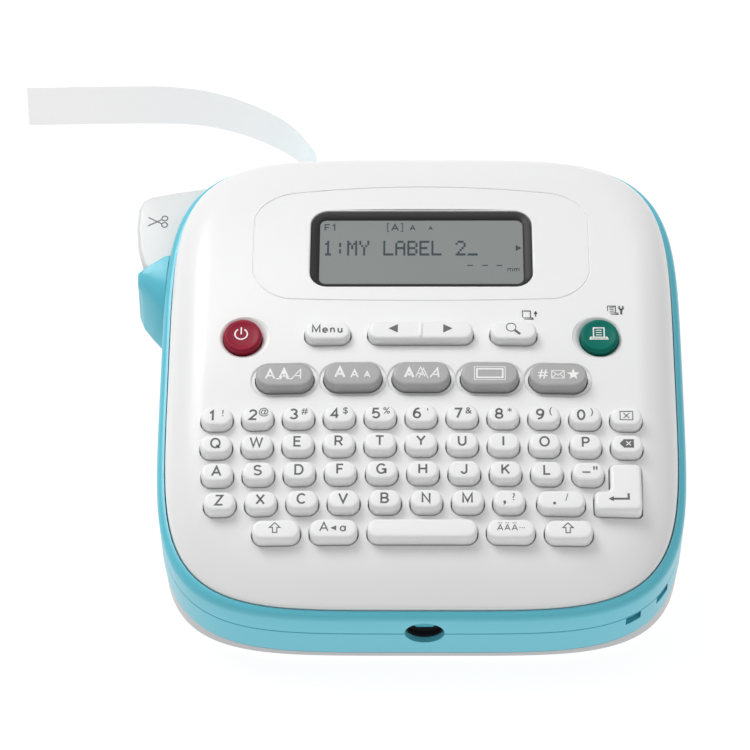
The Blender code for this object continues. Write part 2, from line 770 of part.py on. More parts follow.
def make_back_cover(looks):
    body = loft([base_ring(0.0, share, BASE_LOW) for share in (1.0, 0.75, 0.5, 0.0)])
    cover = add("back_cover", body, looks["base_white"])
    low = base_ring(WALL, 0.5, BASE_FLOOR_TOP)
    room_low = [(x, y, BASE_FLOOR_TOP) for x, y, _ in low]
    room_high = [(x, y, z + 3.0) for x, y, z in base_ring(WALL, 0.0, BASE_FLOOR_TOP)]
    cut(cover, "base_room", loft([room_low, room_high]), None)
    face = prism(rectangle(FACE_HALF_WIDTH, FACE_HALF_DEPTH, 4.0), FACE_LOW, BASE_LOW + 1.0)
    join(cover, "base_face", face, None)
    pockets = []
    for y in (-FOOT_Y, FOOT_Y):
        plan = rectangle(FOOT_HALF_WIDTH + GAP, FOOT_HALF_DEPTH + GAP, FOOT_HALF_DEPTH, 0.0, y, 3)
        pockets.append(prism(plan, FACE_LOW - 2.0, FOOT_HEIGHT + GAP))
    cut(cover, "foot_pockets", together(pockets), None)
    for name, y in (("foot_front", -FOOT_Y), ("foot_rear", FOOT_Y)):
        plan = rectangle(FOOT_HALF_WIDTH, FOOT_HALF_DEPTH, FOOT_HALF_DEPTH - GAP, 0.0, y, 3)
        add(name, prism(plan, 0.0, FOOT_HEIGHT), looks["rubber_black"], None, (0.0, y, 0.0))


# ---------------------------------------------------------------- display and electronics

def make_display(deck, looks):
    slope = -(WINDOW_Y - DOME_TOP_Y) / DOME_RADIUS_Y
    tilt = frame_empty("display_frame", (0.0, WINDOW_Y, dome(0.0, WINDOW_Y)),
                       (math.atan(slope), 0.0, 0.0), deck)
    plan = rectangle(WINDOW_HALF_WIDTH - GAP, WINDOW_HALF_DEPTH - GAP, WINDOW_RADIUS - GAP, steps=3)
    add("display_window", prism(plan, -WINDOW_DEPTH - WINDOW_THICKNESS, -WINDOW_DEPTH),
        looks["window_dark"], tilt)
    lcd = box((-LCD_HALF_WIDTH, LCD_HALF_WIDTH), (-LCD_HALF_DEPTH, LCD_HALF_DEPTH),
              (-LCD_DEPTH - LCD_THICKNESS, -LCD_DEPTH))
    add("lcd_module", lcd, looks["lcd_grey"], tilt)


def make_electronics(deck, looks):
    plan = rectangle(BOARD_HALF_WIDTH, 0.5 * (BOARD_BACK - BOARD_FRONT), BOARD_CORNER, 0.0,
                     0.5 * (BOARD_BACK + BOARD_FRONT))
    board = prism(plan, BOARD_LOW, BOARD_LOW + BOARD_THICKNESS)
    add("main_board", board, looks["board_green"], deck)
    # The rubber sheet carries one rib under each row of keys.
    low = BOARD_LOW + BOARD_THICKNESS + GAP
    high = low + SHEET_THICKNESS
    rows = [(ROW_Y["shift"], min(single_flange_top(*SINGLE_KEYS[name][:4])
                                 for name in ("shift_key_left", "shift_key_right")))]
    for name in ("bottom_letter_row", "home_letter_row", "top_letter_row", "digit_key_row"):
        y, keys = KEY_ROWS[name]
        enter_top = under_cover(ENTER_RIGHT + FLANGE, -ENTER_BOTTOM + FLANGE, 0.0, 0.0)
        limit = enter_top if name in ("bottom_letter_row", "home_letter_row") else 99.0
        rows.append((y, min(row_flange_top(y, keys), limit)))
    rows.append((FUNCTION_Y, single_flange_top(*SINGLE_KEYS["font_key"][:4])))
    rows.append((MENU_Y, single_flange_top(POWER_X, MENU_Y, BUTTON_RADIUS, BUTTON_RADIUS)))
    front = BOARD_FRONT + 1.0
    back = BOARD_BACK - 0.4
    profile = [(front, high), (front, low), (back, low), (back, high)]
    for y, flange_top in reversed(rows):
        top = flange_top - WEB_THICKNESS - KEY_TRAVEL - GAP
        profile.extend([(y + RIB_HALF_DEPTH, high), (y + RIB_HALF_DEPTH, top),
                        (y - RIB_HALF_DEPTH, top), (y - RIB_HALF_DEPTH, high)])
    reach = BOARD_HALF_WIDTH - 2.5
    ends = [[(x, y, w) for y, w in profile] for x in (-reach, reach)]
    add("keypad_sheet", loft(ends), looks["keypad_rubber"], deck)


def make_power(deck, looks):
    y_low = -HALF_DEPTH + WALL + 0.4
    body = box((JACK_X - JACK_HALF_WIDTH, JACK_X + JACK_HALF_WIDTH), (y_low, y_low + JACK_LENGTH),
               (JACK_W - JACK_HALF_WIDTH, JACK_W + JACK_HALF_WIDTH))
    jack = add("dc_jack", body, looks["jack_black"], deck)
    # The centre pin is left standing by cutting a ring-shaped socket.
    rings = [raised(circle(radius, 0, 0, 20), level) for radius, level in
             ((JACK_SOCKET_RADIUS, y_low - 2.0), (JACK_SOCKET_RADIUS, y_low + 9.0),
              (1.0, y_low + 9.0), (1.0, y_low - 2.0))]
    socket = moved(along_y(loft(rings, closed=True)), JACK_X, 0.0, JACK_W)
    cut(jack, "jack_socket", socket, deck)
    trim = box((JACK_X - 1.6, JACK_X + 1.6), (y_low - 3.0, y_low + 1.5), (JACK_W - 1.6, JACK_W + 1.6))
    cut(jack, "jack_pin_trim", trim, deck)
    first = -0.5 * CELL_PITCH * (CELL_COUNT - 1)
    for i in range(CELL_COUNT):
        x = first + CELL_PITCH * i
        cell = along_y(turned([(CELL_RADIUS, 0.0), (CELL_RADIUS, CELL_LENGTH - 1.0),
                               (1.9, CELL_LENGTH - 1.0), (1.9, CELL_LENGTH)], count=16))
        add("battery_%d" % (i + 1), moved(cell, x, CELL_FRONT, CELL_MIDDLE), looks["battery"],
            deck, (x, CELL_FRONT, CELL_MIDDLE))
    half = -first + CELL_RADIUS
    ends = (("battery_contact_front", CELL_FRONT - GAP - CONTACT_THICKNESS),
            ("battery_contact_rear", CELL_FRONT + CELL_LENGTH + GAP))
    for name, y in ends:
        strip = box((-half, half), (y, y + CONTACT_THICKNESS),
                    (CELL_MIDDLE - 4.0, CELL_MIDDLE + 4.5))
        add(name, strip, looks["steel"], deck)


# ---------------------------------------------------------------- tape, drive and cutter

def gear(teeth, x, y, phase):
    """A spur gear's plan: a straight-sided tooth is narrow enough to leave backlash."""
    pitch_radius = 0.5 * GEAR_MODULE * teeth
    root = pitch_radius - 0.95 * GEAR_MODULE
    tip = pitch_radius + 0.7 * GEAR_MODULE
    step = 2 * math.pi / teeth
    points = []
    for i in range(teeth):
        middle = phase + i * step
        for radius, turn in ((root, -0.27), (tip, -0.11), (tip, 0.11), (root, 0.27)):
            angle = middle + turn * step
            points.append((x + radius * math.cos(angle), y + radius * math.sin(angle)))
    return prism(points, GEAR_LOW, GEAR_LOW + GEAR_THICKNESS)


def drive_places():
    """Centres of the platen, the idler gear and the motor."""
    platen = (TAPE_X - 0.5 * TAPE_THICKNESS - GAP - PLATEN_RADIUS, PLATEN_Y)
    reach = 0.5 * GEAR_MODULE * (PLATEN_TEETH + IDLER_TEETH)
    idler = (platen[0] + reach * math.cos(IDLER_DIRECTION),
             platen[1] + reach * math.sin(IDLER_DIRECTION))
    reach = 0.5 * GEAR_MODULE * (IDLER_TEETH + PINION_TEETH)
    motor = (idler[0] + reach * math.cos(PINION_DIRECTION),
             idler[1] + reach * math.sin(PINION_DIRECTION))
    return platen, idler, motor


def make_drive(deck, looks):
    platen, idler, motor = drive_places()
    roller = turned([(SHAFT_RADIUS, -11.6), (SHAFT_RADIUS, -10.8), (PLATEN_RADIUS, -10.8),
                     (PLATEN_RADIUS, 2.5), (SHAFT_RADIUS, 2.5),
                     (SHAFT_RADIUS, GEAR_LOW + GEAR_THICKNESS)], *platen, count=16)
    add("platen_roller", roller, looks["rubber_black"], deck, (*platen, 0.0))
    turn = 2 * math.pi / IDLER_TEETH
    # Each gear is turned so that a tooth meets the gap of the gear that it drives.
    idler_phase = IDLER_DIRECTION + math.pi + 0.5 * turn
    pinion_gap = (PINION_DIRECTION - idler_phase) / turn
    pinion_share = pinion_gap - math.floor(pinion_gap)
    pinion_phase = PINION_DIRECTION + math.pi + (0.5 + pinion_share) * 2 * math.pi / PINION_TEETH
    places = (("platen_gear", PLATEN_TEETH, platen, IDLER_DIRECTION),
              ("idler_gear", IDLER_TEETH, idler, idler_phase),
              ("motor_pinion", PINION_TEETH, motor, pinion_phase))
    for name, teeth, (x, y), phase in places:
        wheel = add(name, gear(teeth, x, y, phase), looks["gear_white"], deck, (x, y, GEAR_LOW))
        bore = prism(circle(SHAFT_RADIUS + RUNNING_CLEARANCE, x, y, 12), GEAR_LOW - 2.0,
                     GEAR_LOW + 5.0)
        cut(wheel, name + "_bore", bore, deck)
    top = CHASSIS_LOW - 0.4
    case = turned([(MOTOR_RADIUS - 1.0, top - MOTOR_LENGTH), (MOTOR_RADIUS, top - MOTOR_LENGTH + 1),
                   (MOTOR_RADIUS, top), (SHAFT_RADIUS, top),
                   (SHAFT_RADIUS, GEAR_LOW + GEAR_THICKNESS)], *motor, count=20)
    add("feed_motor", case, looks["steel"], deck, (*motor, 0.0))
    high = CHASSIS_LOW + CHASSIS_THICKNESS
    left = motor[0] - 13.0
    right = CASSETTE_LEFT - 1.6
    front = motor[1] - 18.0
    back = CUT_Y - 1.6
    corners = [(left, front), (right, front), (right, back), (platen[0] - 8.0, back),
               (left, idler[1] - 2.0)]
    plate = prism(corners, CHASSIS_LOW, high)
    chassis = add("mechanism_chassis", plate, looks["steel"], deck)
    posts = [prism(circle(SHAFT_RADIUS, *idler, 12), high - 0.5, BAY_ROOF - GAP)]
    for x, y in ((motor[0] - 10.5, motor[1] - 15.5), (CASSETTE_LEFT - 4.5, motor[1] - 15.5),
                 (CASSETTE_LEFT - 4.5, CUT_Y - 5.0)):
        posts.append(prism(circle(1.8, x, y, 12), high - 0.5, BAY_ROOF - GAP))
    join(chassis, "chassis_posts", together(posts), deck)
    holes = [prism(circle(SHAFT_RADIUS + 0.5, *place, 12), CHASSIS_LOW - 2.0, high + 4.0)
             for place in (platen, motor)]
    cut(chassis, "chassis_holes", together(holes), deck)
    head_left = TAPE_X + 0.5 * TAPE_THICKNESS + GAP
    head = box((head_left, head_left + HEAD_THICKNESS), (PLATEN_Y - 6.0, PLATEN_Y + 5.0),
               (-11.0, CHASSIS_LOW - GAP))
    add("print_head", head, looks["head_ceramic"], deck)


def make_cassette(deck, looks):
    x = (CASSETTE_LEFT, CASSETTE_LEFT + CASSETTE_WIDTH)
    y = (CASSETTE_FRONT, CASSETTE_FRONT + CASSETTE_DEPTH)
    high = CASSETTE_LOW + CASSETTE_HEIGHT
    corners = [(x[0], y[0]), (x[1], y[0]), (x[1], y[1]), (x[0], y[1])]
    shell = add("tape_cassette", prism(rounded(corners, 4.0, 2), CASSETTE_LOW, high),
                looks["cassette"], deck)
    tape_at = (x[1] - SPOOL_RADIUS - 5.5, 0.5 * (y[0] + y[1]))
    ribbon_at = (x[0] + RIBBON_RADIUS + 13.0, 0.5 * (y[0] + y[1]) - 4.0)
    wells = []
    for (cx, cy), radius in ((tape_at, SPOOL_RADIUS), (ribbon_at, RIBBON_RADIUS)):
        wells.append(turned([(radius + 1.0, SPOOL_LOW - GAP),
                             (radius + 1.0, SPOOL_LOW + SPOOL_HEIGHT + GAP)], cx, cy, 24))
        wells.append(prism(circle(4.0, cx, cy, 16), SPOOL_LOW, high + 2.0))
    cut(shell, "cassette_wells_tape", together(wells[:1] + wells[2:3]), deck)
    cut(shell, "cassette_hubs", together([wells[1], wells[3]]), deck)
    for name, (cx, cy), radius in (("tape_spool", tape_at, SPOOL_RADIUS),
                                   ("ribbon_spool", ribbon_at, RIBBON_RADIUS)):
        spool = add(name, prism(circle(radius, cx, cy, 24), SPOOL_LOW, SPOOL_LOW + SPOOL_HEIGHT),
                    looks["spool"], deck, (cx, cy, SPOOL_LOW))
        cut(spool, name + "_hub", prism(circle(2.5, cx, cy, 12), SPOOL_LOW - 2.0,
                                        SPOOL_LOW + SPOOL_HEIGHT + 2.0), deck)


def strip(points, thickness, middle, width, lean):
    """A flat strip that stands on edge along plan points and leans back by lean(i)."""
    rings = []
    half = 0.5 * width
    for i, (x, y) in enumerate(points):
        ahead = Vector(points[min(i + 1, len(points) - 1)])
        before = Vector(points[max(i - 1, 0)])
        along = (ahead - before).normalized()
        normal = Vector((-along.y, along.x))
        turn = lean(i)
        # As the strip leans, its upper edge moves away from its left side.
        up = Vector((-normal.x * math.sin(turn), -normal.y * math.sin(turn), math.cos(turn)))
        out = Vector((normal.x * math.cos(turn), normal.y * math.cos(turn), math.sin(turn)))
        centre = Vector((x, y, middle))
        ring = []
        for a, b in ((-1, -1), (1, -1), (1, 1), (-1, 1)):
            ring.append(tuple(centre + out * (0.5 * thickness * a) + up * (half * b)))
        rings.append(ring)
    return loft(rings)


LABEL_ROUTE = ((-0.6, 5.2), (-3.0, 4.2), (-3.3, 3.9), (-5.2, 4.3), (-9.2, 5.1), (-10.6, 3.8),
               (-9.0, 1.6), (-9.1, 0.5), (-18.0, -0.1), (-21.2, -0.5))
LABEL_LEAN = math.radians(34.0)


def label_points():
    """Plan points of the label: straight out of the slot, then a wide turn to the left."""
    x = TAPE_X
    y = HALF_DEPTH
    points = [(x, CUT_Y + CUT_HALF_GAP), (x, y - 3.0), (x - 0.2, y)]
    for dx, dy in LABEL_ROUTE:
        x += dx
        y += dy
        points.append((x, y))
    return points


def make_tape(deck, looks):
    points = label_points()
    count = len(points)

    def lean(i):
        share = min(1.0, max(0.0, (i - 3) / (count - 6)))
        return LABEL_LEAN * share

    add("label_tape", strip(points, TAPE_THICKNESS, TAPE_MIDDLE, TAPE_WIDTH, lean),
        looks["tape"], deck)
    start = CASSETTE_FRONT + CASSETTE_DEPTH - 15.0
    inside = [(CASSETTE_LEFT - GAP, start), (CASSETTE_LEFT - 4.0, start + 0.7),
              (TAPE_X + 1.2, start + 2.8), (TAPE_X, start + 6.0), (TAPE_X, CUT_Y - CUT_HALF_GAP)]
    add("supply_tape", strip(inside, TAPE_THICKNESS, TAPE_MIDDLE, TAPE_WIDTH, lambda i: 0.0),
        looks["tape"], deck)


def lever_plan():
    """The cutter lever from above; its front end is narrower, inside the bulge."""
    edge = -HALF_WIDTH
    return [(edge + 12.0, PIVOT_Y + 33.8), (edge + 1.1, PIVOT_Y + 31.9),
            (edge - 5.6, PIVOT_Y + 30.4), (edge - 8.0, PIVOT_Y + 28.8),
            (edge - 9.2, PIVOT_Y + 25.5), (edge - 9.4, PIVOT_Y + 19.0),
            (edge - 8.7, PIVOT_Y + 11.6), (edge - 7.0, PIVOT_Y + 5.5),
            (edge - 5.4, PIVOT_Y + 4.2), (edge - 5.0, PIVOT_Y + 2.6),
            (edge - 1.6, PIVOT_Y - 2.6),
            (edge + 7.6, PIVOT_Y - 2.6), (edge + 7.6, PIVOT_Y + 8.0),
            (edge + 12.0, PIVOT_Y + 9.0)]


def make_cutter(deck, looks):
    low = LEVER_TOP - LEVER_THICKNESS
    origin = (0.5 * (PIN_LEFT + PIN_RIGHT), PIVOT_Y, PIVOT_W)
    lever = add("cutter_lever", prism(lever_plan(), low, LEVER_TOP), looks["lever_white"], deck,
                origin)
    bore = moved(along_x(prism(circle(PIN_RADIUS + GAP, 0, 0, 12), -HALF_WIDTH - 10.0,
                               -HALF_WIDTH + 12.0)), 0.0, PIVOT_Y, PIVOT_W)
    cut(lever, "lever_bore", bore, deck)
    pin = moved(along_x(prism(circle(PIN_RADIUS, 0, 0, 12), PIN_LEFT, PIN_RIGHT + 1.0)),
                0.0, PIVOT_Y, PIVOT_W)
    add("cutter_lever_pin", pin, looks["steel"], deck)
    # Return spring: a coil round the pin between the lever and its ear.
    turns = 4
    left = -HALF_WIDTH + 7.9
    right = PIN_RIGHT - 1.2
    path = []
    steps = 12 * turns
    for i in range(steps + 1):
        angle = 2 * math.pi * i / 12
        path.append((left + 0.35 + (right - left - 0.7) * i / steps,
                     PIVOT_Y + 2.1 * math.cos(angle), PIVOT_W + 2.1 * math.sin(angle)))
    add("cutter_return_spring", swept(path, 0.22, 5), looks["steel"], deck)
    # Blade: a guillotine plate in the cut gap, with a sloping lower edge.
    half = 0.5 * 0.5
    edge = TAPE_MIDDLE + 0.5 * TAPE_WIDTH + 0.6
    face = [(TAPE_X - 6.5, edge), (TAPE_X + 3.5, edge + 1.8), (TAPE_X + 3.5, BAY_ROOF - GAP),
            (TAPE_X - 6.5, BAY_ROOF - GAP)]
    sides = [[(x, y, w) for x, w in face] for y in (CUT_Y - half, CUT_Y + half)]
    add("cutter_blade", loft(sides), looks["steel"], deck, (TAPE_X, CUT_Y, edge))


def make_screws(deck, looks):
    head_top = -SEAM - PLATE - GAP
    for name, (x, y) in SCREW_PLACES.items():
        profile = [(SCREW_HEAD_RADIUS, head_top - 2.0), (SCREW_HEAD_RADIUS, head_top),
                   (SCREW_RADIUS, head_top), (SCREW_RADIUS, SCREW_TIP - 1.0), (0.3, SCREW_TIP)]
        add(name, turned(profile, x, y, 12), looks["steel"], deck, (x, y, 0.0))


def make_looks():
    values = {
        "cover_white": ((0.84, 0.84, 0.84), 0.42, 0.0),
        "base_white": ((0.78, 0.78, 0.78), 0.5, 0.0),
        "lever_white": ((0.84, 0.84, 0.84), 0.4, 0.0),
        "case_turquoise": ((0.18, 0.62, 0.74), 0.4, 0.0),
        "key_white": ((0.84, 0.84, 0.84), 0.45, 0.0),
        "key_grey": ((0.38, 0.38, 0.38), 0.4, 0.0),
        "key_red": ((0.28, 0.015, 0.04), 0.35, 0.0),
        "key_green": ((0.0, 0.15, 0.11), 0.35, 0.0),
        "window_dark": ((0.05, 0.05, 0.05), 0.15, 0.0),
        "lcd_grey": ((0.22, 0.235, 0.23), 0.3, 0.0),
        "board_green": ((0.02, 0.16, 0.06), 0.5, 0.0),
        "keypad_rubber": ((0.55, 0.55, 0.53), 0.8, 0.0),
        "jack_black": ((0.01, 0.01, 0.01), 0.35, 0.0),
        "battery": ((0.05, 0.12, 0.3), 0.3, 0.6),
        "steel": ((0.55, 0.56, 0.58), 0.3, 1.0),
        "rubber_black": ((0.02, 0.02, 0.02), 0.8, 0.0),
        "gear_white": ((0.8, 0.79, 0.74), 0.45, 0.0),
        "head_ceramic": ((0.7, 0.68, 0.6), 0.4, 0.0),
        "cassette": ((0.1, 0.1, 0.11), 0.45, 0.0),
        "spool": ((0.75, 0.75, 0.72), 0.5, 0.0),
        "tape": ((0.84, 0.84, 0.84), 0.3, 0.0),
    }
    return {name: finish_material(name, *value) for name, value in values.items()}


def main():
    clear_scene()
    looks = make_looks()
    deck = frame_empty("deck", (0.0, 0.0, DECK_HEIGHT), (TILT, 0.0, 0.0))
    make_top_cover(deck, looks)
    make_case_band(deck, looks)
    make_lower_case(deck, looks)
    make_back_cover(looks)
    make_key_rows(deck, looks)
    make_single_keys(deck, looks)
    make_display(deck, looks)
    make_electronics(deck, looks)
    make_power(deck, looks)
    make_drive(deck, looks)
    make_cassette(deck, looks)
    make_tape(deck, looks)
    make_cutter(deck, looks)
    make_screws(deck, looks)
    bpy.context.view_layer.update()


main()
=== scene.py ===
"""Looks of a desktop label maker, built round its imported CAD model.

Shapes are drawn in millimetres in the deck frame: the keyboard face's own frame, whose x runs to
the user's right, y away from the user along the tilted face, and w up along its normal.
"""

import json
import math

import bmesh
import bpy
from mathutils import Matrix, Vector


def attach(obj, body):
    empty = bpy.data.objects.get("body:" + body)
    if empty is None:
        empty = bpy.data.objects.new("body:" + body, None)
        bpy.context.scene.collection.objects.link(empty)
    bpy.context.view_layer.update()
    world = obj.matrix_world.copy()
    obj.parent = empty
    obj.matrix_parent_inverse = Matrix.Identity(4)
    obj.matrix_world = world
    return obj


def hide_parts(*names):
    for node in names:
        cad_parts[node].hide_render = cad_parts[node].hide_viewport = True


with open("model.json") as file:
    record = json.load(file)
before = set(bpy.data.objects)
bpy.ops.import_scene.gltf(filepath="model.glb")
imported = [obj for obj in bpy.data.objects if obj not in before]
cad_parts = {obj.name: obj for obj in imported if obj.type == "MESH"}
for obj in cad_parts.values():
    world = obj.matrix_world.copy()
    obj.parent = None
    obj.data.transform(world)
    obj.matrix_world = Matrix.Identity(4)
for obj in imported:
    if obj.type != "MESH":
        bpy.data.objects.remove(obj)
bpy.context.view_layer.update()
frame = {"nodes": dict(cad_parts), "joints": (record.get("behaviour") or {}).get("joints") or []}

# Deck frame
PRESS_AXIS = next(joint["axis"] for joint in frame["joints"]
                  if joint["name"] == "digit_key_row_press")
TILT = math.atan2(PRESS_AXIS[1], -PRESS_AXIS[2])
DECK_HEIGHT = 0.0348
DECK = (Matrix.Translation((0.0, 0.0, DECK_HEIGHT)) @ Matrix.Rotation(TILT, 4, "X")
        @ Matrix.Scale(0.001, 4))
TO_DECK = DECK.inverted()
WORLD = Matrix.Scale(0.001, 4)

# Case
HALF_WIDTH = 74.5
HALF_DEPTH = 77.5
SQUARENESS = 4.7
CORNER_SHARE = 0.58
CASE_POINTS = 160
WALL = 2.2
SEAM = 0.15
BAND_HEIGHT = 9.3
BAND_SINK = 1.35
LOWER_DEPTH = 11.0
GAP = 0.3

# Cover
COVER_HALF_WIDTH = HALF_WIDTH - WALL - GAP
COVER_HALF_DEPTH = HALF_DEPTH - WALL - GAP
COVER_WALL = 2.0
COVER_RIM = 10.0
SKIRT_END = 3.0
DOME_TOP = 22.7
DOME_TOP_Y = 4.4
DOME_RADIUS_Y = 295.0
DOME_RADIUS_X = 1100.0
EDGE_ROLL = 12.0

# Keys
ROW_Y = {"digit": -21.2, "top": -29.7, "home": -38.1, "bottom": -46.6, "shift": -55.0}
FUNCTION_Y = -8.6
MENU_Y = 5.7
COLUMN_PITCH = 11.4
FIRST_COLUMN = -57.0
KEY_HALF_WIDTH = 4.5
KEY_HALF_DEPTH = 3.2
KEY_RADIUS = 2.9
KEY_RISE = 2.9
KEY_CLEARANCE = 0.18
KEY_SHRINK = 0.12
PILL_PITCH = 19.15
PILL_HALF_WIDTH = 8.25
PILL_HALF_DEPTH = 4.15
BUTTON_RADIUS = 5.4
BUTTON_RISE = 1.3
BUTTON_DISH = 7.0
BUTTON_FLOOR = -0.36
INK_HEIGHT = 0.05

# Display
WINDOW_Y = 36.5
WINDOW_HALF_WIDTH = 31.7
WINDOW_HALF_DEPTH = 14.4
WINDOW_RADIUS = 5.0
LCD_X = 29.3
LCD_Y = 12.0
OUTLINE_Y = 39.0
OUTLINE_HALF_WIDTH = 48.2
OUTLINE_HALF_DEPTH = 21.4
OUTLINE_RADIUS = 11.5

# Tape
TAPE_X = -30.5
TAPE_START = 69.0
TAPE_WIDTH = 12.0
TAPE_THICKNESS = 0.4
TAPE_MIDDLE = -4.0

# Lever
PIVOT_Y = 37.0
LEVER_TOP = 3.2
LEVER_THICKNESS = 4.4
SWING_LOW = -9.2
PIVOT_W = 1.0
PIN_BORE_RADIUS = 1.55
BULGE_TOP = 5.2

# Power jack and base
JACK_X = 0.9
JACK_W = 0.6
JACK_HALF_WIDTH = 5.4
JACK_LENGTH = 14.0
JACK_HOLE_RADIUS = 5.5
JACK_SOCKET_RADIUS = 3.2
BASE_INSET = 0.15
BASE_DRAFT = 0.06
BASE_LOW = 1.0
BASE_FLOOR_TOP = 3.6
FOOT_Y = 58.0
FOOT_HALF_WIDTH = 42.0
FOOT_HALF_DEPTH = 4.0
FOOT_HEIGHT = 1.8

# Camera, in metres
CAMERA_AT = (0.0, -0.7396, 0.7078)
CAMERA_LENS = 167.26
CAMERA_LEFT = math.radians(0.761)
CAMERA_UP = math.radians(0.321)


# ---------------------------------------------------------------- materials

def linear(channel):
    """A linear value for an 8-bit sRGB channel."""
    value = channel / 255
    return value / 12.92 if value <= 0.04045 else ((value + 0.055) / 1.055) ** 2.4


def colour(red, green, blue):
    return (linear(red), linear(green), linear(blue), 1.0)


def moulded(name, tone, roughness, spread=0.02, grain=900.0, bump=0.02, metal=0.0,
            specular=0.5):
    """A moulded or plain surface: a faint cloud of tone, uneven roughness and a fine grain."""
    material = bpy.data.materials.new(name)
    material.use_nodes = True
    nodes = material.node_tree.nodes
    links = material.node_tree.links
    shader = nodes["Principled BSDF"]
    place = nodes.new("ShaderNodeTexCoord")
    cloud = nodes.new("ShaderNodeTexNoise")
    cloud.inputs["Scale"].default_value = 60.0
    cloud.inputs["Detail"].default_value = 3.0
    links.new(place.outputs["Object"], cloud.inputs["Vector"])
    mix = nodes.new("ShaderNodeMix")
    mix.data_type = "RGBA"
    darker = [channel * (1 - spread) for channel in tone[:3]] + [1.0]
    lighter = [min(1.0, channel * (1 + spread)) for channel in tone[:3]] + [1.0]
    mix.inputs["A"].default_value = darker
    mix.inputs["B"].default_value = lighter
    links.new(cloud.outputs["Fac"], mix.inputs["Factor"])
    links.new(mix.outputs["Result"], shader.inputs["Base Color"])
    spans = nodes.new("ShaderNodeMapRange")
    spans.inputs["To Min"].default_value = max(0.02, roughness - 0.04)
    spans.inputs["To Max"].default_value = roughness + 0.04
    links.new(cloud.outputs["Fac"], spans.inputs["Value"])
    links.new(spans.outputs["Result"], shader.inputs["Roughness"])
    fine = nodes.new("ShaderNodeTexNoise")
    fine.inputs["Scale"].default_value = grain
    fine.inputs["Detail"].default_value = 2.0
    links.new(place.outputs["Object"], fine.inputs["Vector"])
    relief = nodes.new("ShaderNodeBump")
    relief.inputs["Strength"].default_value = bump
    relief.inputs["Distance"].default_value = 0.0002
    links.new(fine.outputs["Fac"], relief.inputs["Height"])
    links.new(relief.outputs["Normal"], shader.inputs["Normal"])
    shader.inputs["Metallic"].default_value = metal
    shader.inputs["Specular IOR Level"].default_value = specular
    return material


def glow(material, strength):
    """Adds a white glow to a material, and returns its shader."""
    shader = material.node_tree.nodes["Principled BSDF"]
    shader.inputs["Emission Color"].default_value = (1.0, 1.0, 1.0, 1.0)
    shader.inputs["Emission Strength"].default_value = strength
    return shader


def tape_film():
    """Laminated tape: pale grey, with a faint glow in place of the light that comes through it."""
    film = moulded("tape_film", colour(196, 194, 194), 0.5, 0.01, 400.0, 0.01, specular=0.1)
    shader = glow(film, 0.5)
    shader.inputs["Subsurface Weight"].default_value = 0.15
    shader.inputs["Subsurface Radius"].default_value = (0.001, 0.001, 0.001)
    return film


def pale_floor():
    """A studio floor whose own glow makes it plain white and keeps the shadows on it faint."""
    floor = moulded("floor", colour(110, 110, 110), 0.8, 0.002, 50.0, 0.0, specular=0.0)
    glow(floor, 0.92)
    return floor


def make_materials():
    return {
        "cover": moulded("cover_plastic", colour(243, 243, 243), 0.32, 0.008, 1400.0, 0.03),
        "lever": moulded("lever_plastic", colour(226, 227, 227), 0.3, 0.008, 1400.0, 0.03),
        "case": moulded("turquoise_plastic", colour(100, 199, 218), 0.3, 0.012, 1400.0, 0.03),
        "base": moulded("base_plastic", colour(206, 206, 207), 0.4, 0.01, 1200.0, 0.05),
        "key_white": moulded("white_key_plastic", colour(244, 244, 244), 0.34, 0.006, 1500.0, 0.03),
        "key_grey": moulded("grey_key_plastic", colour(172, 172, 172), 0.34, 0.01, 1500.0, 0.03),
        "key_red": moulded("red_key_plastic", colour(150, 30, 54), 0.35, 0.02, 1500.0, 0.03,
                           specular=0.15),
        "key_green": moulded("green_key_plastic", colour(0, 112, 98), 0.35, 0.02, 1500.0, 0.03,
                             specular=0.12),
        "bezel": moulded("bezel_print", colour(48, 48, 48), 0.35, 0.02, 900.0, 0.01, specular=0.2),
        "lcd": moulded("lcd_glass", colour(138, 142, 141), 0.35, 0.02, 2200.0, 0.02, specular=0.2),
        "lcd_ink": moulded("lcd_segments", colour(30, 50, 62), 0.4, 0.03),
        "legend": moulded("legend_ink", colour(98, 98, 98), 0.5, 0.02),
        "dark_legend": moulded("dark_legend_ink", colour(58, 58, 60), 0.5, 0.02),
        "white_legend": moulded("white_legend_ink", colour(250, 250, 250), 0.5, 0.01),
        "board": moulded("solder_mask", colour(24, 104, 56), 0.4, 0.06, 300.0, 0.1),
        "rubber_sheet": moulded("keypad_silicone", colour(196, 196, 192), 0.6, 0.02),
        "jack": moulded("jack_plastic", colour(22, 22, 24), 0.45, 0.05, 800.0, 0.05),
        "battery": moulded("battery_sleeve", colour(52, 92, 140), 0.3, 0.04, metal=0.6),
        "steel": moulded("plain_steel", colour(190, 192, 196), 0.3, 0.03, 700.0, 0.05, metal=1.0),
        "rubber": moulded("black_rubber", colour(34, 34, 34), 0.75, 0.08, 500.0, 0.2),
        "gear": moulded("acetal", colour(232, 230, 222), 0.4, 0.02),
        "ceramic": moulded("head_ceramic", colour(210, 206, 196), 0.5, 0.03),
        "cassette": moulded("cassette_plastic", colour(70, 70, 74), 0.5, 0.04, 700.0, 0.15),
        "spool": moulded("wound_tape", colour(222, 222, 218), 0.5, 0.03, 500.0, 0.1),
        "tape": tape_film(),
        "floor": pale_floor(),
    }


# ---------------------------------------------------------------- outlines

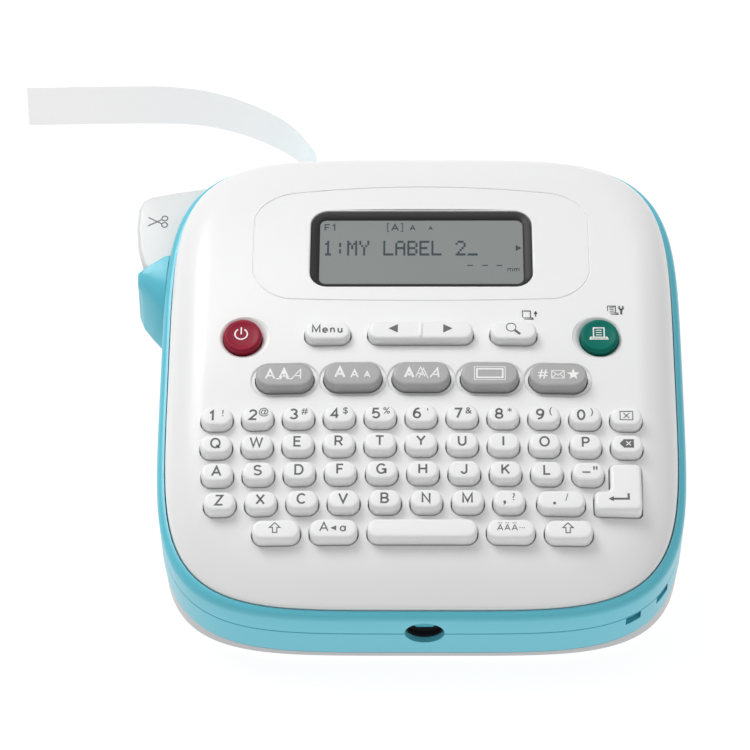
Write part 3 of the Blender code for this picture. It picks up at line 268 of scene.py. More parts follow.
def superellipse(half_width, half_depth, count=CASE_POINTS):
    """A rounded-square plan, counterclockwise, with its points closer in the corners."""
    points = []
    for i in range(count):
        turn = 2 * math.pi * (i + 0.5) / count
        c = math.copysign(abs(math.cos(turn)) ** CORNER_SHARE, math.cos(turn))
        s = math.copysign(abs(math.sin(turn)) ** CORNER_SHARE, math.sin(turn))
        radius = (abs(c / half_width) ** SQUARENESS
                  + abs(s / half_depth) ** SQUARENESS) ** (-1 / SQUARENESS)
        points.append((radius * c, radius * s))
    return points


def case_plan(inset=0.0):
    return superellipse(HALF_WIDTH - inset, HALF_DEPTH - inset)


def cover_plan(inset=0.0):
    return superellipse(COVER_HALF_WIDTH - inset, COVER_HALF_DEPTH - inset)


def half_depth_at(x, inset=0.0):
    share = min(1.0, abs(x) / (HALF_WIDTH - inset))
    return (HALF_DEPTH - inset) * (1 - share ** SQUARENESS) ** (1 / SQUARENESS)


def dome(x, y):
    """Height of the keyboard face, away from its rolled edge."""
    return (DOME_TOP - (y - DOME_TOP_Y) ** 2 / (2 * DOME_RADIUS_Y)
            - x * x / (2 * DOME_RADIUS_X))


def skin_height(x, y):
    """Height of the cover's outside, its rolled edge included."""
    share = (abs(x / COVER_HALF_WIDTH) ** SQUARENESS
             + abs(y / COVER_HALF_DEPTH) ** SQUARENESS) ** (1 / SQUARENESS)
    if share >= 1:
        return COVER_RIM
    from_edge = (1 - share) / max(share, 0.01) * math.hypot(x, y)
    left = max(0.0, 1 - from_edge / EDGE_ROLL)
    return COVER_RIM + (dome(x, y) - COVER_RIM) * math.sqrt(1 - left * left)


def skin_normal(x, y, step=0.05):
    along_x = (skin_height(x + step, y) - skin_height(x - step, y)) / (2 * step)
    along_y = (skin_height(x, y + step) - skin_height(x, y - step)) / (2 * step)
    return Vector((-along_x, -along_y, 1.0)).normalized()


def rounded(corners, radius, steps=6):
    """A polygon with each corner turned into an arc."""
    points = []
    count = len(corners)
    for i, corner in enumerate(corners):
        here = Vector(corner)
        before = (Vector(corners[i - 1]) - here).normalized()
        after = (Vector(corners[(i + 1) % count]) - here).normalized()
        half = before.angle(after) / 2
        reach = radius / math.tan(half)
        centre = here + (before + after).normalized() * (radius / math.sin(half))
        first = here + before * reach - centre
        last = here + after * reach - centre
        for k in range(steps + 1):
            mixed = first.lerp(last, k / steps).normalized() * radius
            points.append(tuple(centre + mixed))
    return points


def divided(points, longest):
    """The same closed outline with no side longer than a given length."""
    more = []
    for a, b in zip(points, points[1:] + points[:1]):
        count = max(1, math.ceil(math.dist(a, b) / longest))
        for i in range(count):
            more.append((a[0] + (b[0] - a[0]) * i / count, a[1] + (b[1] - a[1]) * i / count))
    return more


def rectangle(half_x, half_y, radius, x=0.0, y=0.0, steps=6):
    corners = [(x - half_x, y - half_y), (x + half_x, y - half_y),
               (x + half_x, y + half_y), (x - half_x, y + half_y)]
    return rounded(corners, min(radius, half_x - 0.01, half_y - 0.01), steps)


def circle(radius, x=0.0, y=0.0, count=48):
    return [(x + radius * math.cos(2 * math.pi * i / count),
             y + radius * math.sin(2 * math.pi * i / count)) for i in range(count)]


# ---------------------------------------------------------------- solids

def at(points, height):
    """Plan points raised to a height, or to a height function of x and y."""
    if callable(height):
        return [(x, y, height(x, y)) for x, y in points]
    return [(x, y, height) for x, y in points]


def loft(rings, closed=False):
    """(points, faces) of a skin through rings of equally many points, capped at both ends."""
    count = len(rings[0])
    points = [point for ring in rings for point in ring]
    faces = []
    last = len(rings) if closed else len(rings) - 1
    for level in range(last):
        low = level * count
        high = (level + 1) % len(rings) * count
        for i in range(count):
            j = (i + 1) % count
            faces.append((low + i, low + j, high + j, high + i))
    if not closed:
        faces.append(tuple(reversed(range(count))))
        faces.append(tuple(range(len(points) - count, len(points))))
    return points, faces


def prism(plan, low, high):
    return loft([at(plan, low), at(plan, high)])


def box(x, y, w):
    corners = [(x[0], y[0]), (x[1], y[0]), (x[1], y[1]), (x[0], y[1])]
    return prism(corners, w[0], w[1])


def turned(profile, x=0.0, y=0.0, count=48):
    """A body of revolution about the deck normal through x, y, from (radius, height) points."""
    return loft([at(circle(radius, x, y, count), height) for radius, height in profile])


def shifted(solid, x=0.0, y=0.0, w=0.0):
    points, faces = solid
    return [(a + x, b + y, c + w) for a, b, c in points], faces


def along_y(solid):
    """Turns a solid drawn upwards so that its upward axis points along +y."""
    points, faces = solid
    return [(a, c, -b) for a, b, c in points], faces


def along_x(solid):
    """Turns a solid drawn upwards so that its upward axis points along +x."""
    points, faces = solid
    return [(c, a, b) for a, b, c in points], faces


def together(solids):
    points = []
    faces = []
    for more_points, more_faces in solids:
        start = len(points)
        points.extend(more_points)
        faces.extend(tuple(start + i for i in face) for face in more_faces)
    return points, faces


def mesh_object(name, solid, place=DECK):
    """An object from a solid, in metres in the row frame, with outward faces."""
    points, faces = solid
    mesh = bpy.data.meshes.new(name)
    mesh.from_pydata([tuple(place @ Vector(point)) for point in points], [], faces)
    work = bmesh.new()
    work.from_mesh(mesh)
    bmesh.ops.remove_doubles(work, verts=work.verts, dist=1e-7)
    bmesh.ops.recalc_face_normals(work, faces=work.faces)
    work.to_mesh(mesh)
    work.free()
    piece = bpy.data.objects.new(name, mesh)
    bpy.context.scene.collection.objects.link(piece)
    return piece


def shade(piece, degrees=35.0):
    """Smooth shading that keeps edges sharper than the angle."""
    piece.data.polygons.foreach_set("use_smooth", [True] * len(piece.data.polygons))
    piece.data.set_sharp_from_angle(angle=math.radians(degrees))


def smooth_skin(piece):
    """Gives the cover's outside the shading normals of its exact curve.

    The cut faces are long and uneven, and their own normals would show as patches of shade.
    """
    mesh = piece.data
    turn = DECK.to_3x3().normalized()
    normals = [corner.vector.copy() for corner in mesh.corner_normals]
    exact = {}
    for vertex in mesh.vertices:
        spot = TO_DECK @ vertex.co
        share = max(abs(spot.x) / COVER_HALF_WIDTH, abs(spot.y) / COVER_HALF_DEPTH)
        if share < 0.985 and abs(spot.z - skin_height(spot.x, spot.y)) < 0.06:
            exact[vertex.index] = (turn @ skin_normal(spot.x, spot.y)).normalized()
    for face in mesh.polygons:
        for corner in face.loop_indices:
            normal = exact.get(mesh.loops[corner].vertex_index)
            if normal is not None and face.normal.dot(normal) > 0.9:
                normals[corner] = normal
    mesh.normals_split_custom_set(normals)


def settle(piece):
    """Replaces an object's mesh by what its modifiers make of it."""
    graph = bpy.context.evaluated_depsgraph_get()
    mesh = bpy.data.meshes.new_from_object(piece.evaluated_get(graph))
    old = piece.data
    piece.modifiers.clear()
    piece.data = mesh
    bpy.data.meshes.remove(old)


def carve(piece, solids, operation="DIFFERENCE", place=DECK):
    """Cuts solids from a piece, or joins them to it, one after the other."""
    tools = []
    for i, solid in enumerate(solids):
        tool = mesh_object(f"tool_{i}", solid, place)
        change = piece.modifiers.new(f"change_{i}", "BOOLEAN")
        change.operation = operation
        change.solver = "EXACT"
        change.object = tool
        tools.append(tool)
    settle(piece)
    for tool in tools:
        bpy.data.objects.remove(tool)


def soften(piece, width, segments, degrees):
    """Rounds the edges sharper than the angle; width in millimetres."""
    edge = piece.modifiers.new("soft_edges", "BEVEL")
    edge.width = 0.001 * width
    edge.segments = segments
    edge.limit_method = "ANGLE"
    edge.angle_limit = math.radians(degrees)
    settle(piece)


def finish(piece, material, body, slot, *nodes):
    """Gives a piece its material and body, and hides the CAD nodes that it stands for; its slot is
    not used.
    """
    piece.data.materials.clear()
    piece.data.materials.append(material)
    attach(piece, body)
    if nodes:
        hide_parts(*nodes)


# ---------------------------------------------------------------- legends

def lettering(text, size, x, y, w, bold=0.0):
    """(points, faces) of flat lettering centred on x, y, its face at height w."""
    curve = bpy.data.curves.new("lettering", "FONT")
    curve.body = text
    curve.size = size
    curve.align_x = "CENTER"
    curve.align_y = "CENTER"
    curve.extrude = INK_HEIGHT
    curve.offset = bold
    curve.resolution_u = 3
    letters = bpy.data.objects.new("lettering", curve)
    bpy.context.scene.collection.objects.link(letters)
    bpy.context.view_layer.update()
    graph = bpy.context.evaluated_depsgraph_get()
    mesh = bpy.data.meshes.new_from_object(letters.evaluated_get(graph))
    points = [tuple(vertex.co) for vertex in mesh.vertices]
    faces = [tuple(face.vertices) for face in mesh.polygons]
    bpy.data.objects.remove(letters)
    bpy.data.curves.remove(curve)
    bpy.data.meshes.remove(mesh)
    low_x = min(a for a, b, c in points)
    high_x = max(a for a, b, c in points)
    low_y = min(b for a, b, c in points)
    high_y = max(b for a, b, c in points)
    middle = (0.5 * (low_x + high_x), 0.5 * (low_y + high_y))
    return [(a - middle[0] + x, b - middle[1] + y, c + w) for a, b, c in points], faces


def stroke(points, width, w, closed=False):
    """A flat line of constant width through plan points, its top at height w."""
    count = len(points)
    left = []
    right = []
    for i, point in enumerate(points):
        here = Vector(point)
        before = Vector(points[i - 1]) if closed or i > 0 else here
        after = Vector(points[(i + 1) % count]) if closed or i < count - 1 else here
        first = (here - before).normalized() if (here - before).length > 0 else None
        second = (after - here).normalized() if (after - here).length > 0 else None
        if first is None:
            first = second
        if second is None:
            second = first
        normal_a = Vector((-first.y, first.x))
        normal_b = Vector((-second.y, second.x))
        normal = (normal_a + normal_b).normalized()
        reach = 0.5 * width / max(0.4, normal.dot(normal_a))
        left.append(here + normal * reach)
        right.append(here - normal * reach)
    rings = []
    for a, b in zip(left, right):
        rings.append([(b.x, b.y, w - INK_HEIGHT), (a.x, a.y, w - INK_HEIGHT),
                      (a.x, a.y, w + INK_HEIGHT), (b.x, b.y, w + INK_HEIGHT)])
    return loft(rings, closed)


def bow(x, y, half_x, half_y, start, end, count=14):
    """Points on a stretch of an ellipse, from one angle to another in degrees."""
    points = []
    for i in range(count + 1):
        turn = math.radians(start + (end - start) * i / count)
        points.append((x + half_x * math.cos(turn), y + half_y * math.sin(turn)))
    return points


def drawn_letters():
    """Each letter as the lines that draw it; capitals and digits stand from -1 to 1."""
    ring = bow(0, 0, 0.84, 1, 90, 450, 28)
    loop = bow(0.1, 0.46, 0.5, 0.54, 90, -90)
    return {
        "A": [[(-0.82, -1), (0, 1), (0.82, -1)], [(-0.5, -0.35), (0.5, -0.35)]],
        "B": [[(-0.62, 0), (-0.62, 1), (0.1, 1)] + bow(0.1, 0.5, 0.46, 0.5, 90, -90)
              + [(-0.62, 0)], [(-0.62, 0), (-0.62, -1), (0.12, -1)]
              + bow(0.12, -0.5, 0.54, 0.5, -90, 90) + [(-0.62, 0)]],
        "C": [bow(0, 0, 0.8, 1, 42, 318, 22)],
        "D": [[(-0.68, -1), (-0.68, 1), (0, 1)] + bow(0, 0, 0.74, 1, 90, -90, 18)
              + [(-0.68, -1)]],
        "E": [[(0.6, 1), (-0.6, 1), (-0.6, -1), (0.62, -1)], [(-0.6, 0.05), (0.48, 0.05)]],
        "F": [[(0.6, 1), (-0.55, 1), (-0.55, -1)], [(-0.55, 0.05), (0.45, 0.05)]],
        "G": [bow(0, 0, 0.82, 1, 42, 350, 24) + [(0.8, -0.1), (0.1, -0.1)],
              [(0.8, -0.1), (0.8, -1)]],
        "H": [[(-0.68, 1), (-0.68, -1)], [(0.68, 1), (0.68, -1)], [(-0.68, 0), (0.68, 0)]],
        "I": [[(0, 1), (0, -1)]],
        "J": [[(0.45, 1), (0.45, -0.45)] + bow(-0.03, -0.45, 0.48, 0.55, 0, -170, 12)],
        "K": [[(-0.62, 1), (-0.62, -1)], [(0.66, 1), (-0.62, -0.25)], [(-0.15, 0.2), (0.7, -1)]],
        "L": [[(-0.5, 1), (-0.5, -1), (0.62, -1)]],
        "M": [[(-0.84, -1), (-0.84, 1), (0, -0.75), (0.84, 1), (0.84, -1)]],
        "N": [[(-0.68, -1), (-0.68, 1), (0.68, -1), (0.68, 1)]],
        "O": [ring],
        "P": [[(-0.58, -1), (-0.58, 1), (0.1, 1)] + loop + [(-0.58, -0.08)]],
        "Q": [ring, [(0.2, -0.45), (0.85, -1.1)]],
        "R": [[(-0.62, -1), (-0.62, 1), (0.1, 1)] + loop + [(-0.62, -0.08)],
              [(0.1, -0.08), (0.68, -1)]],
        "S": [bow(0, 0.5, 0.6, 0.5, 25, 270, 14) + bow(0, -0.5, 0.66, 0.5, 90, -155, 14)],
        "T": [[(-0.76, 1), (0.76, 1)], [(0, 1), (0, -1)]],
        "U": [[(-0.66, 1), (-0.66, -0.3)] + bow(0, -0.3, 0.66, 0.7, 180, 360) + [(0.66, 1)]],
        "V": [[(-0.78, 1), (0, -1), (0.78, 1)]],
        "W": [[(-1.15, 1), (-0.58, -1), (0, 0.9), (0.58, -1), (1.15, 1)]],
        "X": [[(-0.72, 1), (0.72, -1)], [(0.72, 1), (-0.72, -1)]],
        "Y": [[(-0.76, 1), (0, -0.05), (0.76, 1)], [(0, -0.05), (0, -1)]],
        "Z": [[(-0.66, 1), (0.66, 1), (-0.68, -1), (0.7, -1)]],
        "0": [bow(0, 0, 0.62, 1, 90, 450, 26)],
        "1": [[(-0.4, 0.55), (0.12, 1), (0.12, -1)]],
        "2": [bow(0, 0.42, 0.6, 0.58, 165, -35, 14) + [(-0.62, -1), (0.64, -1)]],
        "3": [bow(-0.05, 0.5, 0.55, 0.5, 150, -90, 14), bow(-0.05, -0.5, 0.64, 0.5, 90, -155, 14)],
        "4": [[(0.3, -1), (0.3, 1), (-0.66, -0.42), (0.68, -0.42)]],
        "5": [[(0.52, 1), (-0.42, 1), (-0.52, 0.05)] + bow(0, -0.38, 0.62, 0.62, 130, -150, 16)],
        "6": [bow(0, -0.4, 0.6, 0.6, 90, 450, 22), bow(0.25, -0.3, 0.84, 1.3, 75, 190, 12)],
        "7": [[(-0.62, 1), (0.62, 1), (-0.15, -1)]],
        "8": [bow(0, 0.5, 0.52, 0.5, 90, 450, 20), bow(0, -0.5, 0.62, 0.5, 90, 450, 20)],
        "9": [bow(0, 0.4, 0.6, 0.6, 90, 450, 22), bow(-0.25, 0.3, 0.84, 1.3, 255, 370, 12)],
        "a": [bow(0, -0.45, 0.5, 0.55, 0, 360, 20), [(0.5, 0.15), (0.5, -1)]],
        "e": [[(-0.5, -0.4), (0.52, -0.4)] + bow(0, -0.42, 0.52, 0.58, 0, 310, 18)],
        "n": [[(-0.42, -1), (-0.42, 0.15)], bow(0, -0.35, 0.42, 0.5, 170, 0, 10) + [(0.42, -1)]],
        "u": [[(-0.42, 0.15), (-0.42, -0.5)] + bow(0, -0.5, 0.42, 0.5, 180, 350, 10),
              [(0.42, 0.15), (0.42, -1)]],
    }


LETTERS = drawn_letters()


def inked(lines, x, y, w, width, size=1.0, slant=0.0):
    """Lines of one width drawn round x, y; one that ends where it starts is closed."""
    parts = []
    for line in lines:
        points = [(x + size * (a + slant * b), y + size * b) for a, b in line]
        closed = (Vector(points[0]) - Vector(points[-1])).length < 1e-6
        parts.append(stroke(points[:-1] if closed else points, width, w, closed))
    return parts


def drawn(letter, height, x, y, w, width=0.5, slant=0.0):
    """One letter in lines of even width, its capital height given."""
    return inked(LETTERS[letter], x, y, w, width, 0.5 * (height - width), slant)


def patch(points, w):
    """A flat filled shape."""
    return prism(points, w - INK_HEIGHT, w + INK_HEIGHT)


def framed(half_x, half_y, x, y, width, w):
    corners = [(x - half_x, y - half_y), (x + half_x, y - half_y),
               (x + half_x, y + half_y), (x - half_x, y + half_y)]
    return stroke(corners, width, w, True)


def shift_arrow(x, y, w):
    outline = [(-0.6, -1.5), (0.6, -1.5), (0.6, 0.1), (1.45, 0.1), (0.0, 1.6), (-1.45, 0.1),
               (-0.6, 0.1), (-0.6, -1.5)]
    return inked([outline], x, y, w, 0.28)


def clear_icon(x, y, w):
    cross = [[(-0.8, 0.8), (0.8, -0.8)], [(-0.8, -0.8), (0.8, 0.8)]]
    return [framed(1.75, 1.35, x, y, 0.26, w)] + inked(cross, x, y, w, 0.26)


def backspace_icon(x, y, w):
    """A solid left-pointing tag; its cross is drawn on top separately, in white."""
    tag = [(x - 2.0, y), (x - 0.8, y - 1.35), (x + 1.95, y - 1.35), (x + 1.95, y + 1.35),
           (x - 0.8, y + 1.35)]
    return [patch(tag, w)]


def backspace_cross(x, y, w):
    cross = [[(-0.15, 0.65), (1.15, -0.65)], [(-0.15, -0.65), (1.15, 0.65)]]
    return inked(cross, x, y, w, 0.26)


def enter_arrow(x, y, w):
    parts = [stroke([(x + 2.6, y + 1.5), (x + 2.6, y - 0.2), (x - 1.9, y - 0.2)], 0.6, w)]
    parts.append(patch([(x - 2.9, y - 0.2), (x - 1.5, y - 1.0), (x - 1.5, y + 0.6)], w))
    return parts


def power_icon(x, y, w):
    return [stroke(bow(x, y - 0.2, 1.75, 1.75, 120, 420, 28), 0.4, w),
            stroke([(x, y - 0.3), (x, y + 2.0)], 0.4, w)]


def label_icon(x, y, w, size=1.0, width=0.4):
    """A sheet that comes out of a printer: a page over a tray."""
    page = [(-1.25, -1.0), (-1.25, 1.6), (1.25, 1.6), (1.25, -1.0)]
    tray = [(-2.1, -1.5), (-1.9, -1.0), (1.9, -1.0), (2.1, -1.5), (-2.1, -1.5)]
    return inked([page, tray], x, y, w, width, size)


def page_lines(x, y, w, size=1.0, width=0.3):
    lines = [[(-0.7, rise), (0.7, rise)] for rise in (-0.35, 0.3, 0.95)]
    return inked(lines, x, y, w, width, size)


def magnifier(x, y, w):
    handle = [(x + 0.55, y - 0.55), (x + 2.0, y - 1.8)]
    return [stroke(circle(1.35, x - 0.5, y + 0.5, 24), 0.26, w, True), stroke(handle, 0.75, w)]


def star(x, y, w, radius=1.9):
    points = []
    for i in range(10):
        reach = radius if i % 2 == 0 else 0.42 * radius
        turn = math.radians(90 + 36 * i)
        points.append((x + reach * math.cos(turn), y + reach * math.sin(turn)))
    return [patch(points, w)]


def envelope(x, y, w):
    lines = [[(-1.7, 1.2), (0.0, -0.3), (1.7, 1.2)]]
    lines += [[(1.7 * side, -1.2), (0.55 * side, 0.15)] for side in (-1, 1)]
    return [framed(1.75, 1.25, x, y, 0.24, w)] + inked(lines, x, y, w, 0.24)


def scissors_icon(x, y, w):
    """Open scissors: two blades to the left, two finger loops to the right."""
    parts = []
    for side in (-1, 1):
        parts.append(stroke([(x - 2.9, y + 1.5 * side), (x + 1.1, y - 0.75 * side)], 0.34, w))
        parts.append(stroke(circle(0.85, x + 1.95, y - 1.15 * side, 20), 0.34, w, True))
    return parts


# ---------------------------------------------------------------- keys

def key_plan(x, y, half_x, half_y, radius):
    """A key's plan as a function of how far it is grown."""
    return lambda grow: rectangle(half_x + grow, half_y + grow, max(0.3, radius + grow), x, y)


def enter_plan(grow):
    left, step, right = 47.6 - grow, 52.0 - grow, 60.9 + grow
    bottom = ROW_Y["bottom"] - KEY_HALF_DEPTH - grow
    middle = ROW_Y["bottom"] + KEY_HALF_DEPTH + grow
    top = ROW_Y["home"] + KEY_HALF_DEPTH + grow
    corners = [(left, bottom), (right, bottom), (right, top), (step, top), (step, middle),
               (left, middle)]
    return rounded(corners, 1.5, 6)


# How far in and how far down each ring of a key's rounded edge lies
KEY_EDGE_RINGS = ((0.0, 1.15), (0.03, 0.85), (0.12, 0.55), (0.3, 0.28), (0.55, 0.1),
                  (0.85, 0.02), (1.2, 0.0))


def key_top(x, y, rise=KEY_RISE):
    return dome(x, y) + rise


def soft_key(plan, x, y, rise=KEY_RISE, foot=3.2):
    """A key cap with a soft rounded edge."""
    top = key_top(x, y, rise)
    rings = [at(plan(-KEY_SHRINK), top - rise - foot)]
    for inward, drop in KEY_EDGE_RINGS:
        rings.append(at(plan(-KEY_SHRINK - inward), top - drop))
    return loft(rings)


def dished_button(x, y):
    """A round button whose face is slightly hollow."""
    top = key_top(x, y, BUTTON_RISE)
    radius = BUTTON_RADIUS
    profile = [(radius, top - 5.0), (radius, top - 0.75), (radius - 0.1, top - 0.4),
               (radius - 0.35, top - 0.12), (radius - 0.75, top), (radius - 1.2, top - 0.08),
               (radius - 1.8, top - 0.26), (radius - 2.5, BUTTON_FLOOR + top),
               (0.9, BUTTON_FLOOR + top)]
    return turned(profile, x, y, 64)


ROWS = {
    "digit_key_row": (ROW_Y["digit"], 10, FIRST_COLUMN),
    "top_letter_row": (ROW_Y["top"], 10, FIRST_COLUMN),
    "home_letter_row": (ROW_Y["home"], 10, FIRST_COLUMN + 0.5),
    "bottom_letter_row": (ROW_Y["bottom"], 8, FIRST_COLUMN + 1.4),
}
WIDE_KEY_X = 38.5
WIDE_HALF = 6.7

SINGLES = {
    "menu_key": (-26.4, MENU_Y, 6.5, KEY_HALF_DEPTH),
    "cursor_rocker": (-0.2, MENU_Y, 14.9, KEY_HALF_DEPTH),
    "search_key": (26.0, MENU_Y, 6.6, KEY_HALF_DEPTH),
    "font_key": (-2 * PILL_PITCH, FUNCTION_Y, PILL_HALF_WIDTH, PILL_HALF_DEPTH),
    "size_key": (-PILL_PITCH, FUNCTION_Y, PILL_HALF_WIDTH, PILL_HALF_DEPTH),
    "style_key": (0.0, FUNCTION_Y, PILL_HALF_WIDTH, PILL_HALF_DEPTH),
    "frame_key": (PILL_PITCH, FUNCTION_Y, PILL_HALF_WIDTH, PILL_HALF_DEPTH),
    "symbol_key": (2 * PILL_PITCH, FUNCTION_Y, PILL_HALF_WIDTH, PILL_HALF_DEPTH),
    "clear_key": (57.0, ROW_Y["digit"], KEY_HALF_WIDTH, KEY_HALF_DEPTH),
    "backspace_key": (57.0, ROW_Y["top"], KEY_HALF_WIDTH, KEY_HALF_DEPTH),
    "shift_key_left": (-39.9, ROW_Y["shift"], WIDE_HALF, KEY_HALF_DEPTH),
    "caps_key": (-24.1, ROW_Y["shift"], WIDE_HALF, KEY_HALF_DEPTH),
    "space_bar": (0.3, ROW_Y["shift"], 15.2, KEY_HALF_DEPTH),
    "accent_key": (24.6, ROW_Y["shift"], WIDE_HALF, KEY_HALF_DEPTH),
    "shift_key_right": (40.5, ROW_Y["shift"], WIDE_HALF, KEY_HALF_DEPTH),
}
PILLS = ("font_key", "size_key", "style_key", "frame_key", "symbol_key")
ENTER_X = 56.5
ENTER_Y = -43.0
POWER_X = -50.5
PRINT_X = 50.3


def single_plan(name):
    """The plan of a single key, as a function of how far it is grown."""
    x, y, half_x, half_y = SINGLES[name]
    return key_plan(x, y, half_x, half_y, PILL_HALF_DEPTH if name in PILLS else KEY_RADIUS)


def row_keys(name):
    """(x, half width) of each key of a row."""
    _, count, first = ROWS[name]
    keys = [(first + COLUMN_PITCH * i, KEY_HALF_WIDTH) for i in range(count)]
    if name == "bottom_letter_row":
        keys.append((WIDE_KEY_X, WIDE_HALF))
    return keys


def legend_piece(name, parts, material, body, slot):
    finish(mesh_object(name, together(parts)), material, body, slot)


def make_rows(looks):
    for name, (y, _, _) in ROWS.items():
        caps = [soft_key(key_plan(x, y, half, KEY_HALF_DEPTH, KEY_RADIUS), x, y)
                for x, half in row_keys(name)]
        keys = mesh_object(name + "_caps", together(caps))
        shade(keys)
        finish(keys, looks["key_white"], name, "key_white", name)


def row_legends(looks):
    """Letters, digits and signs, printed on the keys of each row."""
    signs = "!@#$%'&*()"
    parts = []
    y = ROW_Y["digit"]
    for (x, _), digit, sign in zip(row_keys("digit_key_row"), "1234567890", signs):
        w = key_top(x, y)
        parts.extend(drawn(digit, 3.5, x - 1.2, y + 0.05, w, 0.56))
        raise_by = 0.9 if sign in "!@#$%&()" else 1.2
        parts.append(lettering(sign, 2.9, x + 1.75, y + raise_by, w, bold=0.02))
    legend_piece("digit_legends", parts, looks["legend"], "digit_key_row", "key_white")
    for name, letters in (("top_letter_row", "QWERTYUIOP"), ("home_letter_row", "ASDFGHJKL"),
                          ("bottom_letter_row", "ZXCVBNM")):
        y = ROWS[name][0]
        parts = []
        for (x, _), letter in zip(row_keys(name), letters):
            parts.extend(drawn(letter, 3.4, x - 0.1, y + 0.2, key_top(x, y), 0.52))
        last_x = row_keys(name)[-1][0]
        w = key_top(last_x, y)
        if name == "home_letter_row":
            parts.append(stroke([(last_x - 1.7, y - 0.35), (last_x + 0.5, y - 0.35)], 0.42, w))
            parts.append(lettering('"', 4.3, last_x + 1.9, y + 0.9, w, bold=0.05))
        if name == "bottom_letter_row":
            comma_x = row_keys(name)[-2][0]
            parts.append(lettering(",", 4.6, comma_x - 1.3, y - 1.2, key_top(comma_x, y), bold=0.1))
            parts.append(lettering("?", 3.2, comma_x + 1.2, y + 0.7, key_top(comma_x, y)))
            parts.append(lettering(".", 5.4, last_x - 1.9, y - 1.1, w, bold=0.1))
            parts.append(lettering("/", 3.2, last_x + 1.5, y + 0.8, w))
        legend_piece(name + "_legends", parts, looks["legend"], name, "key_white")


def make_singles(looks):
    for name, (x, y, _, _) in SINGLES.items():
        look = "key_grey" if name in PILLS else "key_white"
        key = mesh_object(name + "_cap", soft_key(single_plan(name), x, y))
        if name == "cursor_rocker":
            top = key_top(x, y)
            ridge = loft([at(rectangle(0.6, 2.3, 0.6, x, y), top - 0.5),
                          at(rectangle(0.6, 2.3, 0.6, x, y), top + 0.1),
                          at(rectangle(0.25, 1.9, 0.25, x, y), top + 0.32)])
            carve(key, [ridge], "UNION")
        shade(key)
        finish(key, looks[look], name, look, name)
    cap = soft_key(enter_plan, ENTER_X, ENTER_Y)
    key = mesh_object("enter_cap", cap)
    shade(key)
    finish(key, looks["key_white"], "enter_key", "key_white", "enter_key")
    for name, x, look in (("power_button", POWER_X, "key_red"),
                          ("print_button", PRINT_X, "key_green")):
        button = mesh_object(name + "_cap", dished_button(x, MENU_Y))
        shade(button, 50.0)
        finish(button, looks[look], name, look, name)


def menu_word(x, y, w):
    parts = []
    for letter, along in zip("Menu", (-3.2, -0.7, 1.4, 3.5)):
        parts.extend(drawn(letter, 2.8, x + along, y + 0.5, w, 0.42))
    return parts


def cursor_arrows(x, y, w):
    parts = []
    for side in (-1, 1):
        tip = x + 9.0 * side
        base = tip - 2.6 * side
        parts.append(patch([(tip, y + 0.4), (base, y + 1.8), (base, y - 1.0)], w))
    return parts


def caps_signs(x, y, w):
    parts = drawn("A", 3.0, x - 2.6, y + 0.5, w, 0.36) + drawn("a", 3.0, x + 2.6, y + 0.5, w, 0.36)
    parts.append(patch([(x - 0.8, y + 0.1), (x + 0.8, y + 0.9), (x + 0.8, y - 0.7)], w))
    return parts


def accent_signs(x, y, w):
    """Three capitals with two dots above each, then three dots in a row."""
    parts = []
    for along in (-3.0, -1.0, 1.0):
        parts.extend(drawn("A", 2.0, x + along, y + 0.3, w, 0.24))
        parts.extend(patch(circle(0.17, x + along + side, y + 1.75, 8), w) for side in (-0.35, 0.35))
    parts.extend(patch(circle(0.17, x + along, y + 0.2, 8), w) for along in (2.4, 3.0, 3.6))
    return parts


# Legends of the single keys: legend's name, key, ink, drawing, and its shift from the key's middle
SINGLE_LEGENDS = (
    ("menu_legend", "menu_key", "legend", menu_word, (0.0, 0.0, 0.0)),
    ("cursor_legends", "cursor_rocker", "legend", cursor_arrows, (0.0, 0.0, 0.0)),
    ("search_legend", "search_key", "legend", magnifier, (-0.2, 0.5, 0.0)),
    ("clear_legend", "clear_key", "legend", clear_icon, (0.0, 0.1, 0.0)),
    ("backspace_legend", "backspace_key", "legend", backspace_icon, (-0.1, 0.1, 0.0)),
    ("backspace_cross", "backspace_key", "white_legend", backspace_cross, (-0.1, 0.1, 0.02)),
    ("shift_key_left_legend", "shift_key_left", "legend", shift_arrow, (-0.3, 0.4, 0.0)),
    ("shift_key_right_legend", "shift_key_right", "legend", shift_arrow, (-0.3, 0.4, 0.0)),
    ("caps_legend", "caps_key", "legend", caps_signs, (0.0, 0.0, 0.0)),
    ("accent_legend", "accent_key", "legend", accent_signs, (0.0, 0.0, 0.0)),
)


def single_legends(looks):
    grey = looks["legend"]
    white = looks["white_legend"]
    for name, key, ink, draw, (aside, up, lift) in SINGLE_LEGENDS:
        x, y = SINGLES[key][:2]
        parts = draw(x + aside, y + up, key_top(x, y) + lift)
        legend_piece(name, parts, looks[ink], key, "key_white")
    w = key_top(ENTER_X, ENTER_Y)
    legend_piece("enter_legend", enter_arrow(54.4, ROW_Y["bottom"] + 0.6, w), grey, "enter_key",
                 "key_white")
    w = key_top(POWER_X, MENU_Y, BUTTON_RISE) + BUTTON_FLOOR
    legend_piece("power_legend", power_icon(POWER_X - 0.4, MENU_Y + 0.7, w), white, "power_button",
                 "key_red")
    w = key_top(PRINT_X, MENU_Y, BUTTON_RISE) + BUTTON_FLOOR
    x, y = PRINT_X - 0.2, MENU_Y + 0.6
    parts = label_icon(x, y, w, 1.2, 0.34) + page_lines(x, y, w, 1.2, 0.24)
    legend_piece("print_legend", parts, white, "print_button", "key_green")


